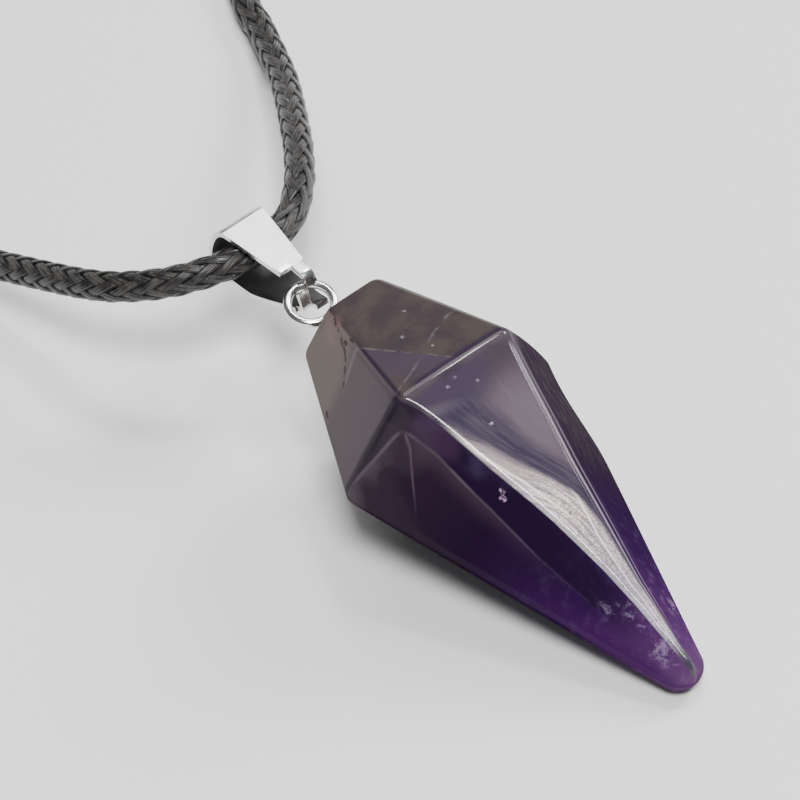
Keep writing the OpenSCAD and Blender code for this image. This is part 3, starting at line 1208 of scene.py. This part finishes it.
def hand_cut(bm):
    """Moves the ridges of the upper facet and crowns all but the facet the stone lies on."""
    for vert in bm.verts:
        s, y, n = vert.co
        around = Vector((y, n))
        if around.length < ON_AXIS:
            continue
        k = int(turn_at(y, n) // SIXTH) % SIDES
        after = (k + 1) % SIDES
        first, second = EVEN_CORNERS[k], EVEN_CORNERS[after]
        whole = first.cross(second)
        on_first, on_second = around.cross(second) / whole, first.cross(around) / whole
        corners = moved_corners(s)
        place = on_first * corners[k] + on_second * corners[after]
        if k != RESTING_FACET:
            size = on_first + on_second
            place = crowned(place, corners[after] - corners[k], on_first / size, size, s)
        vert.co = (s, place.x, place.y)


hand_cut(stone_bm)
bmesh.ops.recalc_face_normals(stone_bm, faces=stone_bm.faces)
print("the crown lifts the facets by up to", round(CROWN * GIRDLE_RADIUS / MM, 2), "mm")

# %% [markdown]
# ## The drilled hole
#
# A stone like this is drilled from its cut top, a little off its axis, and the pin of the eye is
# glued into the hole. The hole is cut by a boolean with a cylinder, a little wider than the pin.
# The result is baked into a new mesh, so that the cylinder needn't stay in the scene.

# %% The drilled hole
HOLE_GAP = 0.1 * MM
HOLE_RADIUS = WIRE_RADIUS + HOLE_GAP
DRILL_OUT = 1 * MM
DRILL_SIDES = 24


def drill_bit():
    """The cylinder that the hole is cut with, from above the cut top to the hole's end."""
    depth = PIN_DEPTH + HOLE_GAP + DRILL_OUT
    middle = Vector((depth / 2 - SHORT_HEIGHT - DRILL_OUT, PIN_SIDE, -PIN_LOW))
    bm = bmesh.new()
    along = STONE @ Matrix.Translation(middle) @ Matrix.Rotation(QUARTER_TURN, 4, "Y")
    bmesh.ops.create_cone(bm, cap_ends=True, segments=DRILL_SIDES, radius1=HOLE_RADIUS,
                          radius2=HOLE_RADIUS, depth=depth, matrix=along)
    return bm


def drilled(bm):
    """The stone in its place, with the hole for the pin."""
    bmesh.ops.transform(bm, matrix=STONE, verts=bm.verts)
    body, drill = mesh_object("undrilled", bm), mesh_object("drill", drill_bit())
    cut = body.modifiers.new("hole", "BOOLEAN")
    cut.operation = "DIFFERENCE"
    cut.solver = "EXACT"
    cut.object = drill
    result = baked_bmesh(body)
    discard(body)
    discard(drill)
    return result


stone_bm = drilled(stone_bm)
print("the hole is", round(2 * HOLE_RADIUS / MM, 2), "mm wide")

# %% [markdown]
# ## The stone's colours
#
# The stone is smoky grey-mauve at its short end and a deep, nearly black violet at its long end,
# with milky streaks and small white healed cracks inside. What a dark stone shows is partly its
# own colour and partly what it mirrors, so it gets painted zones in its own frame, under a clear
# polished coat. The UV map of the grid serves as the stone's own ruler, so each zone stays on its
# facet from every side. A fine pattern inside a zone reads the stone's own X, Y and Z instead.

# %% Reading the stone's own coordinates
RULER_START, RULER_LENGTH = 10, 33
RULER_FACETS, RULER_ACROSS = 3, 20


def facet_places(tree):
    """The place round the axis in facets, the place along it in mm, and the stone's own X, Y, Z."""
    facets = add_node(tree, "ShaderNodeUVMap", uv_map="facets").outputs["UV"]
    axes = add_node(tree, "ShaderNodeSeparateXYZ", {"Vector": facets})
    own = STONE.inverted()
    local = add_node(tree, "ShaderNodeMapping", {
        "Vector": own_place(tree), "Location": own.to_translation(), "Rotation": own.to_euler(),
    })
    return axes.outputs["X"], axes.outputs["Y"], local.outputs["Vector"]


def stone_share(tree, s):
    """The place along the stone as a share, from 10 mm above the girdle to the tip."""
    from_top = math_node(tree, "ADD", s, float(RULER_START))
    return math_node(tree, "DIVIDE", from_top, float(RULER_LENGTH), clamp=True)


def along_stone(tree, s, stops):
    """A value that changes along the stone, from (mm, value) stops, values between 0 and 1."""
    return ramp(tree, stone_share(tree, s), [
        ((mm + RULER_START) / RULER_LENGTH, (value,) * 3) for mm, value in stops
    ])


def across_stone(tree, turn, stops):
    """A place along the stone that changes round it, from (facets, mm) stops within 10 mm."""
    share = math_node(tree, "DIVIDE", turn, float(RULER_FACETS), clamp=True)
    value = ramp(tree, share, [
        (u / RULER_FACETS, (mm / RULER_ACROSS + 0.5,) * 3) for u, mm in stops
    ])
    return scaled(tree, value, float(RULER_ACROSS), -RULER_ACROSS / 2)


def spot(tree, turn, s, centre, reach, wander=0.0):
    """A soft oval mask round a place (facets, mm), whose edge may wander."""
    across = math_node(tree, "DIVIDE", minus(tree, turn, centre[0]), reach[0])
    along = math_node(tree, "DIVIDE", minus(tree, s, centre[1]), reach[1])
    square = scaled(tree, across, across, times(tree, along, along))
    square = math_node(tree, "ADD", square, wander)
    return minus(tree, 1.0, step_up(tree, square, 0.15, 1.0))


def spots(tree, turn, s, places):
    """Several soft ovals in one mask, from (facets, mm, facets wide, mm long)."""
    return most(tree, 0.0, *(
        spot(tree, turn, s, (u, v), (wide, tall)) for u, v, wide, tall in places
    ))


print("the stone's coordinates: facets round the axis, mm along it")

# %% [markdown]
# ## Smoke and violet
#
# The colour of such a stone sits in clouds: smoky near one end, violet near the other. A ramp
# along the axis gives that, and a soft noise moves it back and forth so that no border is
# straight. Towards the tip a thin pale haze lies in it.

# %% Smoke and violet
BODY_STOPS = [
    (0.0, (0.096, 0.078, 0.077)), (0.14, (0.088, 0.072, 0.077)), (0.29, (0.075, 0.061, 0.073)),
    (0.34, (0.022, 0.012, 0.024)), (0.55, (0.013, 0.0045, 0.020)), (0.75, (0.021, 0.005, 0.040)),
    (0.90, (0.060, 0.020, 0.084)), (1.0, (0.104, 0.050, 0.120)),
]
TIP_HAZE = (0.22, 0.14, 0.26)
CLOUD_SHIFT = 4.0


def smoky_body(tree, s, clouds, mottle):
    """Smoky grey at the short end, nearly black in the middle and violet at the tip."""
    depth = scaled(tree, minus(tree, clouds, 0.5), CLOUD_SHIFT, s)
    body = ramp(tree, stone_share(tree, depth), BODY_STOPS)
    haze = times(tree, step_up(tree, mottle, 0.48, 0.75), step_up(tree, s, 8.0, 18.0))
    return painted(tree, body, TIP_HAZE, haze, 0.16)


print("smoke and violet ready")

# %% [markdown]
# ## The right short facet
#
# Two of the short facets face up. On the right one pale seams part brown smoke from violet, and a
# dark line runs along its edge and along the girdle. Every seam is a line of a few points on the
# stone's ruler, drawn as a soft stripe.

# %% The right short facet
PALE_SEAM = (0.22, 0.20, 0.20)
DARK_SMOKE, BROWN_SMOKE = (0.034, 0.025, 0.030), (0.052, 0.042, 0.036)
UNDER_SEAM = (0.050, 0.036, 0.057)
DARK_EDGE, DARK_GIRDLE = (0.018, 0.010, 0.028), (0.016, 0.008, 0.030)
SMOKE_SEAM = [(0.95, -5.8), (1.2, -3.7), (1.4, -2.0), (1.52, -0.55), (1.7, 0.8)]
CROSS_SEAM = [(1.0, -0.6), (1.1, -0.98), (1.4, -2.0), (1.61, -2.86), (1.9, -3.6)]


def right_short_facet(tree, turn, s, sides, clouds, mottle, body):
    """Brown smoke above a pale seam, violet under it, and dark lines at the facet's edges."""
    right = times(tree, sides, step_up(tree, turn, 0.99, 1.01), step_up(tree, turn, 2.1, 2.0),
                  step_up(tree, s, 0.2, -0.3))
    seam = across_stone(tree, turn, SMOKE_SEAM)
    past_seam = minus(tree, s, seam)
    smoke = mixed(tree, step_up(tree, clouds, 0.42, 0.62), DARK_SMOKE, BROWN_SMOKE)
    body = painted(tree, body, smoke, right, 0.85)
    under = times(tree, right, step_up(tree, past_seam, -0.15, 0.25),
                  step_up(tree, past_seam, 5.0, 1.0))
    body = painted(tree, body, UNDER_SEAM, under, 0.75)
    seams = most(tree, stripe(tree, s, seam, 0.20),
                 stripe(tree, s, across_stone(tree, turn, CROSS_SEAM), 0.16))
    broken = step_up(tree, mottle, 0.40, 0.60)
    body = painted(tree, body, PALE_SEAM, right, broken, seams, 0.26)
    edge = times(tree, stripe(tree, turn, 1.015, 0.030), step_up(tree, s, -5.9, -5.0),
                 step_up(tree, s, 0.0, -0.5))
    body = painted(tree, body, DARK_EDGE, edge, 0.75)
    girdle = times(tree, step_up(tree, turn, 1.08, 1.2), stripe(tree, s, -0.35, 0.35))
    return painted(tree, body, DARK_GIRDLE, right, girdle, 0.6)


print("right short facet ready")

# %% [markdown]
# ## The left short facet
#
# The left one is greyer. A pale fold line crosses it, and brown traces lie where the drill went
# in. The cut top above both facets keeps the plain smoke, so a last mask holds these marks off it.

# %% The left short facet
GREY_SMOKE, PINKISH = (0.142, 0.117, 0.106), (0.22, 0.13, 0.13)
DRILL_BROWN = (0.026, 0.008, 0.010)
FOLD_LINE = [(0.0, -4.4), (0.52, -4.7), (0.74, -5.15), (0.97, -5.5)]
DRILL_LINE = [
    (-9.2, 1.0), (-8.6, 0.98), (-7.45, 0.90), (-6.35, 0.84), (-5.65, 0.73), (-4.9, 0.55),
]
DRILL_SPOTS = [(0.10, -5.05, 0.03, 0.35), (0.91, -6.6, 0.03, 0.3), (0.985, -6.3, 0.015, 0.35)]
CUT_TOP_END = (-9.75, -9.45)


def left_short_facet(tree, turn, s, sides, mottle, body):
    """Grey smoke, a fold line, and brown traces beside the drilled hole."""
    left = times(tree, sides, step_up(tree, turn, 1.0, 0.97), step_up(tree, s, 0.0, -0.4))
    fold_line = across_stone(tree, turn, FOLD_LINE)
    beyond = step_up(tree, minus(tree, fold_line, s), -0.2, 1.2)
    body = painted(tree, body, GREY_SMOKE, left, beyond, 0.7)
    fold = times(tree, stripe(tree, s, fold_line, 0.22), step_up(tree, turn, 0.4, 0.7))
    body = painted(tree, body, PALE_SEAM, left, fold, 0.3)
    blush = spot(tree, turn, s, (0.86, -8.2), (0.24, 1.4))
    body = painted(tree, body, PINKISH, blush, step_up(tree, mottle, 0.38, 0.62), 0.35)
    drill_line = along_stone(tree, s, DRILL_LINE)
    trace = times(tree, stripe(tree, turn, drill_line, 0.05), step_up(tree, s, -4.6, -5.0),
                  step_up(tree, mottle, 0.47, 0.55))
    trace = most(tree, trace, spots(tree, turn, s, DRILL_SPOTS))
    return painted(tree, body, DRILL_BROWN, trace, 0.8)


def short_facets(tree, turn, s, clouds, mottle, body):
    """Both short facets, but not the cut top above them."""
    sides = step_up(tree, s, *CUT_TOP_END)
    body = right_short_facet(tree, turn, s, sides, clouds, mottle, body)
    return left_short_facet(tree, turn, s, sides, mottle, body)


print("short facets ready")

# %% [markdown]
# ## The left long facet
#
# Seen through this facet the stone is nearly black. Three faint lines run out from the corner of
# the girdle; they are painted refractions of the edges on the far side, as seen through the stone.
# Light that has crossed the stone leaves at the lower edge and the tip, and there it is painted in
# as a clear violet glow.

# %% The left long facet
VIOLET_GLOW, NEAR_BLACK = (0.041, 0.006, 0.068), (0.011, 0.0045, 0.020)
BLUE_DEPTH, WARM_DEPTH = (0.070, 0.055, 0.120), (0.058, 0.026, 0.062)
FAR_EDGE_HAZE, DARK_RIM = (0.070, 0.045, 0.064), (0.020, 0.014, 0.022)
WEDGE_HAZE, FAR_EDGE_REFRACTION = (0.070, 0.052, 0.062), (0.16, 0.12, 0.165)
LONG_FAR_EDGE = [(1.0, 0.80), (3.2, 0.80), (7.3, 0.70), (11.0, 0.58), (15.9, 0.51), (20.0, 0.45)]
GIRDLE_FAR_EDGE = [(0.0, -0.25), (0.12, -0.09), (0.40, 0.35), (0.73, 0.75), (0.9, 1.2)]
DOWN_FAR_EDGE = [(1.0, 0.80), (1.8, 0.70), (2.86, 0.46), (3.84, 0.24), (5.0, 0.0)]


def far_depths(tree, turn, s, left, beside, clouds, body):
    """What lies deep behind the left facet: painted violet light at the lower edge, nearly black
    above, a blue cloud and a warm corner.
    """
    # painted light: violet where light that crossed the stone would leave it
    glow = times(tree, left, step_up(tree, turn, 0.55, 0.05), step_up(tree, s, 7.0, 19.0))
    body = painted(tree, body, VIOLET_GLOW, glow, 0.8)
    above = times(tree, left, step_up(tree, beside, -0.015, 0.03), step_up(tree, s, 19.0, 14.0))
    body = painted(tree, body, NEAR_BLACK, above, 0.75)
    blue = times(tree, step_up(tree, clouds, 0.45, 0.65), stripe(tree, turn, 0.93, 0.14))
    body = painted(tree, body, BLUE_DEPTH, above, blue, 0.30)
    corner = spot(tree, turn, s, (0.90, 2.6), (0.16, 2.2))
    body = painted(tree, body, WARM_DEPTH, above, corner, 0.5)
    haze = times(tree, left, step_up(tree, beside, -0.30, 0.0), step_up(tree, beside, 0.02, -0.01),
                 step_up(tree, s, 16.0, 6.0), step_up(tree, s, 0.8, 2.0))
    return painted(tree, body, FAR_EDGE_HAZE, haze, haze, 0.36)


def left_facet(tree, turn, s, clouds, body):
    """Nearly black, with three faint painted refractions of far edges, and painted violet light
    along its lower edge.
    """
    left = times(tree, step_up(tree, turn, 1.0, 0.985), step_up(tree, s, -0.7, -0.4))
    long_far_edge = along_stone(tree, s, LONG_FAR_EDGE)
    body = far_depths(tree, turn, s, left, minus(tree, turn, long_far_edge), clouds, body)
    girdle_far_edge = across_stone(tree, turn, GIRDLE_FAR_EDGE)
    rim = step_up(tree, minus(tree, girdle_far_edge, s), -0.15, 0.15)
    body = painted(tree, body, DARK_RIM, left, rim, 0.85)
    wedge = spot(tree, turn, s, (0.72, 1.7), (0.34, 1.9))
    body = painted(tree, body, WEDGE_HAZE, left, wedge, 0.22)
    down_far_edge = along_stone(tree, s, DOWN_FAR_EDGE)
    # the three faint lines are painted refractions of the far side's edges
    seams = most(
        tree,
        times(tree, stripe(tree, s, girdle_far_edge, 0.18), step_up(tree, turn, 0.05, 0.2),
              step_up(tree, turn, 0.82, 0.72)),
        times(tree, stripe(tree, turn, down_far_edge, 0.032), step_up(tree, s, 4.4, 2.6),
              step_up(tree, s, 0.9, 1.3)),
        times(tree, stripe(tree, turn, long_far_edge, 0.026), step_up(tree, s, 17.0, 6.0),
              step_up(tree, s, 0.8, 1.6)),
    )
    uneven = scaled(tree, step_up(tree, clouds, 0.35, 0.60), 0.22, 0.16)
    return painted(tree, body, FAR_EDGE_REFRACTION, left, seams, uneven)


print("left facet ready")

# %% [markdown]
# ## The veil in the upper long facet
#
# A silky veil lies under this facet. Its light part is a milky streak along the left ridge that
# widens towards the tip, partly the veil and partly a painted sheen where a soft lamp would be
# mirrored, and above the streak the veil turns dark and wavy. The streak's edge is a ramp along the
# stone, and the silk is a noise that is stretched along that edge, so the fine lines follow it
# round its bend. This cell paints the ground of the facet and the dark band.

# %% The upper facet's ground
MILK_AND_SHEEN_EDGE = [
    (0.0, 0.015), (2.4, 0.04), (3.8, 0.08), (5.0, 0.14), (6.0, 0.20), (7.3, 0.34), (8.3, 0.48),
    (9.4, 0.62), (10.2, 0.71), (11.6, 0.80), (13.1, 0.84), (16.0, 0.84), (19.0, 0.86), (22.0, 0.8),
]
VEIL_GROUND, VEIL_PATCH = (0.048, 0.037, 0.048), (0.046, 0.033, 0.058)
LILAC_DARK, LILAC_LIGHT = (0.072, 0.053, 0.072), (0.120, 0.096, 0.115)
LIGHT_LILAC, PALE_RAY = (0.19, 0.165, 0.185), (0.16, 0.135, 0.155)
WAVY_DARK, THIN_DARK = (0.031, 0.026, 0.048), (0.034, 0.022, 0.046)
RAY_LINE = [(1.0, 1.6), (1.3, 2.3), (1.6, 3.0), (1.9, 3.6)]


def past_milk_and_sheen(tree, turn, s, clouds):
    """How far a place lies beyond the streak's edge, in facets."""
    wave = times(tree, minus(tree, clouds, 0.5), 0.08)
    edge = math_node(tree, "ADD", along_stone(tree, s, MILK_AND_SHEEN_EDGE), wave)
    return minus(tree, minus(tree, turn, 1.0), edge)


def silk_lines(tree, s, past):
    """A noise drawn out into fine lines that follow the streak's edge."""
    flow = add_node(tree, "ShaderNodeCombineXYZ", {
        "X": times(tree, s, 0.16), "Y": times(tree, past, 7.0),
    })
    return noise(tree, flow.outputs["Vector"], 2.4, detail=6.0, roughness=0.7, distortion=0.5)


def veil(tree, turn, s, upper, past, silk, clouds, body):
    """Lilac in the middle, a darker patch near the girdle, and a dark wavy band."""
    body = painted(tree, body, VEIL_GROUND, upper, 0.7)
    lilac = mixed(tree, silk, LILAC_DARK, LILAC_LIGHT)
    body = painted(tree, body, lilac, upper, step_up(tree, s, 0.4, 3.8))
    light = spot(tree, turn, s, (1.80, 5.0), (0.25, 3.2))
    body = painted(tree, body, LIGHT_LILAC, upper, light, 0.12)
    loose = times(tree, minus(tree, clouds, 0.5), 1.6)
    patch = spot(tree, turn, s, (1.36, 1.1), (0.46, 2.2), loose)
    body = painted(tree, body, VEIL_PATCH, upper, patch, 0.85)
    ray = times(tree, stripe(tree, s, across_stone(tree, turn, RAY_LINE), 0.7),
                step_up(tree, turn, 1.6, 1.2))
    body = painted(tree, body, PALE_RAY, upper, ray, 0.32)
    band = times(tree, upper, step_up(tree, past, 0.54, 0.27), step_up(tree, s, 1.3, 2.5),
                 scaled(tree, step_up(tree, silk, 0.66, 0.36), 0.5, 0.5))
    body = painted(tree, body, WAVY_DARK, band, 0.95)
    thin = times(tree, stripe(tree, turn, 1.93, 0.07), step_up(tree, s, 8.5, 10.5))
    return painted(tree, body, THIN_DARK, upper, thin, 0.8)


print("veil ready")

# %% [markdown]
# ## The milky streak
#
# The streak is a milky veil with a painted sheen laid into its colour: white where a soft lamp
# would be mirrored, and grey between its silky lines, warm in its upper half and cool beside the
# ridge. A fine grain breaks it up, because on the real stone it is a crowd of tiny bubbles and
# cracks. Two painted glints run through it as bright lines.

# %% The milky streak
MILK_AND_SHEEN_STOPS = [
    (0.44, (0.37, 0.315, 0.315)), (0.51, (0.44, 0.37, 0.35)), (0.575, (0.95, 0.82, 0.77)),
    (0.65, (0.92, 0.79, 0.74)), (0.71, (0.74, 0.64, 0.65)), (0.79, (0.60, 0.53, 0.63)),
    (0.88, (0.95, 0.82, 0.97)),
]
BETWEEN_SILK, GRAIN_GREY = (0.24, 0.205, 0.225), (0.13, 0.105, 0.125)
COOL_EDGE, GLINT = (0.42, 0.44, 0.52), (0.92, 0.87, 0.80)
LOWER_GLINT = [(5.0, 0.03), (6.4, 0.07), (7.9, 0.15), (9.7, 0.22), (11.2, 0.34), (13.0, 0.42)]
UPPER_GLINT = [(6.8, 0.45), (8.4, 0.70), (10.5, 0.72), (13.0, 0.56), (15.0, 0.48), (20.0, 0.5)]


def milky_streak_and_sheen(tree, turn, s, local, upper, past, silk, body):
    """White silk and painted sheen with a fine grain, a cool edge and two painted glints; also
    gives the streak's mask.
    """
    ragged = scaled(tree, minus(tree, silk, 0.5), 0.30, past)
    milk_and_sheen = times(tree, upper, step_up(tree, ragged, 0.07, -0.07), step_up(tree, s, 2.0, 5.0),
                 step_up(tree, s, 21.5, 18.5))
    light = ramp(tree, stone_share(tree, s), MILK_AND_SHEEN_STOPS)
    white = mixed(tree, step_up(tree, silk, 0.36, 0.66), BETWEEN_SILK, light)
    coarse = scaled(tree, step_up(tree, s, 6.0, 10.5), 0.50, 0.25)
    grain = step_up(tree, noise(tree, local, 7000.0, roughness=0.85), 0.56, 0.40)
    white = painted(tree, white, GRAIN_GREY, grain, coarse)
    # painted sheen: the streak's white stands partly for a soft lamp's reflection, partly for the
    # milky veil
    body = painted(tree, body, white, milk_and_sheen, 0.95)
    place_in = minus(tree, turn, 1.0)
    cool = times(tree, stripe(tree, place_in, 0.04, 0.10), step_up(tree, s, 6.0, 9.0))
    body = painted(tree, body, COOL_EDGE, milk_and_sheen, cool, 0.5)
    lower, higher = along_stone(tree, s, LOWER_GLINT), along_stone(tree, s, UPPER_GLINT)
    # two painted glints, as bright lines in the streak
    glints = most(
        tree,
        times(tree, stripe(tree, place_in, lower, 0.035), step_up(tree, s, 13.0, 10.0)),
        times(tree, stripe(tree, place_in, higher, 0.045), step_up(tree, s, 6.5, 8.0)),
    )
    return painted(tree, body, GLINT, milk_and_sheen, glints, 0.8), milk_and_sheen


def upper_facet(tree, turn, s, local, clouds, body):
    """The veil and the streak with its painted sheen; also gives the masks of the facet and of the
    streak.
    """
    upper = times(tree, step_up(tree, turn, 0.99, 1.01), step_up(tree, turn, 2.04, 1.99),
                  step_up(tree, s, 0.2, 0.7))
    past = past_milk_and_sheen(tree, turn, s, clouds)
    silk = silk_lines(tree, s, past)
    body = veil(tree, turn, s, upper, past, silk, clouds, body)
    body, milk_and_sheen = milky_streak_and_sheen(tree, turn, s, local, upper, past, silk, body)
    return body, upper, milk_and_sheen


print("streak ready")

# %% [markdown]
# ## The right ridge and facet
#
# Two thin painted highlights run as bright lines along the ridge between the upper and the right
# facet. The right facet itself is dark, with brown-grey streaks along the stone that fade out into
# the violet.

# %% The right ridge and facet
RIDGE_HIGHLIGHT = (0.40, 0.35, 0.42)
STREAK_DARK, STREAK_BROWN = (0.020, 0.010, 0.027), (0.044, 0.036, 0.038)


def right_ridge(tree, turn, s, body):
    """Two painted highlights, as bright lines along the ridge."""
    # painted highlights along the ridge
    lines = most(tree, stripe(tree, turn, 2.0, 0.028),
                 times(tree, stripe(tree, turn, 2.075, 0.022), 0.5))
    ends = times(tree, step_up(tree, s, 0.4, 1.5), step_up(tree, s, 20.5, 17.0))
    return painted(tree, body, RIDGE_HIGHLIGHT, lines, ends, 0.55)


def right_facet(tree, turn, s, body):
    """Brown-grey streaks that run along the stone."""
    right = times(tree, step_up(tree, turn, 2.10, 2.25), step_up(tree, turn, 3.1, 3.0),
                  step_up(tree, s, 11.5, 4.5))
    lengthwise = add_node(tree, "ShaderNodeCombineXYZ", {
        "X": times(tree, turn, 9.0), "Y": times(tree, s, 0.35),
    })
    streaks = noise(tree, lengthwise.outputs["Vector"], 2.0, detail=4.0, roughness=0.7)
    streaky = mixed(tree, step_up(tree, streaks, 0.36, 0.64), STREAK_DARK, STREAK_BROWN)
    return painted(tree, body, streaky, right, 0.9)


print("right facet ready")

# %% [markdown]
# ## Healed cracks and specks
#
# Small white healed cracks and dark specks are what make a stone look natural and not like cast
# resin. They are soft ovals broken up by a fine noise, and all of them stay few and small.

# %% Healed cracks and specks
WHITE_CRACKS = [
    (1.30, 0.97, 0.026, 0.14), (1.41, 0.72, 0.022, 0.11), (1.56, 1.59, 0.022, 0.13),
    (1.40, -4.09, 0.035, 0.20), (1.52, -2.13, 0.02, 0.12), (1.69, -5.81, 0.03, 0.16),
    (0.66, 19.6, 0.07, 0.14),
]
PINK_CRACKS = [
    (1.37, 4.07, 0.04, 0.13), (0.91, 7.30, 0.025, 0.18), (0.86, 7.70, 0.035, 0.20),
    (0.88, 7.5, 0.06, 0.14),
]
WISPS = [
    (0.86, 17.7, 0.17, 2.0), (0.62, 15.9, 0.10, 0.9), (0.75, 20.2, 0.40, 1.6),
    (2.5, 17.9, 0.35, 0.9),
]
WISP_LILAC, CRACK_WHITE = (0.33, 0.26, 0.40), (0.30, 0.27, 0.31)
CRACK_PINK, SPECK_DARK = (0.40, 0.27, 0.39), (0.09, 0.06, 0.08)


def healed_marks(tree, turn, s, local, milk_and_sheen, body):
    """Small healed cracks, wisps near the tip and dark specks in the milky streak."""
    wispy = noise(tree, local, 1700.0, detail=5.0, roughness=0.7, distortion=0.6)
    wispy = step_up(tree, wispy, 0.50, 0.68)
    body = painted(tree, body, WISP_LILAC, wispy, spots(tree, turn, s, WISPS), 0.45)
    crumbs = step_up(tree, noise(tree, local, 7600.0, roughness=0.7), 0.44, 0.56)
    body = painted(tree, body, CRACK_WHITE, crumbs, spots(tree, turn, s, WHITE_CRACKS), 0.55)
    body = painted(tree, body, CRACK_PINK, crumbs, spots(tree, turn, s, PINK_CRACKS), 0.8)
    cells = add_node(tree, "ShaderNodeTexVoronoi", {"Vector": local, "Scale": 1150.0})
    specks = times(tree, milk_and_sheen, step_up(tree, cells.outputs["Distance"], 0.17, 0.10),
                   step_up(tree, turn, 1.2, 1.35), step_up(tree, s, 7.5, 9.0),
                   step_up(tree, s, 17.0, 15.0))
    return painted(tree, body, SPECK_DARK, specks, 0.7)


print("marks ready")

# %% [markdown]
# ## The stone's material
#
# The painted body is matt, and the polish is a clear coat over it. In a pale room a full coat
# would lay a white veil over the side facets and the stone would lose its depth. So the coat is
# full only on the upper facet, along its ridges and on the girdle's line, and it is weaker on the
# other facets and where the surface is seen edge on.

# %% The stone's material
SIDE_POLISH, FAR_SIDE_LESS = 0.18, 0.15
SHORT_POLISH, STRONG_POLISH = 0.22, 0.72
EDGE_ON_LESS = 0.8


def coat_weight(tree, turn, s, upper):
    """How strong the polished coat is from place to place."""
    facing = add_node(tree, "ShaderNodeLayerWeight", {"Blend": 0.5}).outputs["Facing"]
    polish = minus(tree, 1.0, times(tree, facing, EDGE_ON_LESS))
    line = times(tree, stripe(tree, s, 0.0, 0.8), step_up(tree, turn, 0.93, 0.99),
                 step_up(tree, turn, 2.1, 2.0))
    strong = most(tree, upper, line, stripe(tree, turn, 2.0, 0.12))
    short = times(tree, step_up(tree, s, 0.0, -0.6), SHORT_POLISH)
    far = times(tree, step_up(tree, turn, 2.1, 2.2), FAR_SIDE_LESS)
    side = minus(tree, SIDE_POLISH, far)
    sides = math_node(tree, "ADD", scaled(tree, strong, STRONG_POLISH, side), short, clamp=True)
    return times(tree, polish, sides)


def stone_material():
    """Smoky to violet stone under a polished coat."""
    material, tree, shader = new_material("smoky_violet_stone")
    turn, s, local = facet_places(tree)
    clouds = noise(tree, local, 330.0, detail=5.0, roughness=0.55)
    mottle = noise(tree, local, 1500.0, detail=4.0, roughness=0.6)
    body = smoky_body(tree, s, clouds, mottle)
    body = short_facets(tree, turn, s, clouds, mottle, body)
    body = left_facet(tree, turn, s, clouds, body)
    body, upper, milk_and_sheen = upper_facet(tree, turn, s, local, clouds, body)
    body = right_ridge(tree, turn, s, body)
    body = right_facet(tree, turn, s, body)
    body = healed_marks(tree, turn, s, local, milk_and_sheen, body)
    fill(tree, shader, {
        "Base Color": body, "Roughness": 0.5, "Specular IOR Level": 0.0,
        "Coat Weight": coat_weight(tree, turn, s, upper),
        "Coat Roughness": 0.05, "Coat IOR": 1.5,
    })
    return material


stone = finish_piece("stone_point", stone_bm, stone_material())
stone.modifiers.new("flat_facets", "WEIGHTED_NORMAL")
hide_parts("crystal")
print("stone:", triangle_count(stone), "triangles")
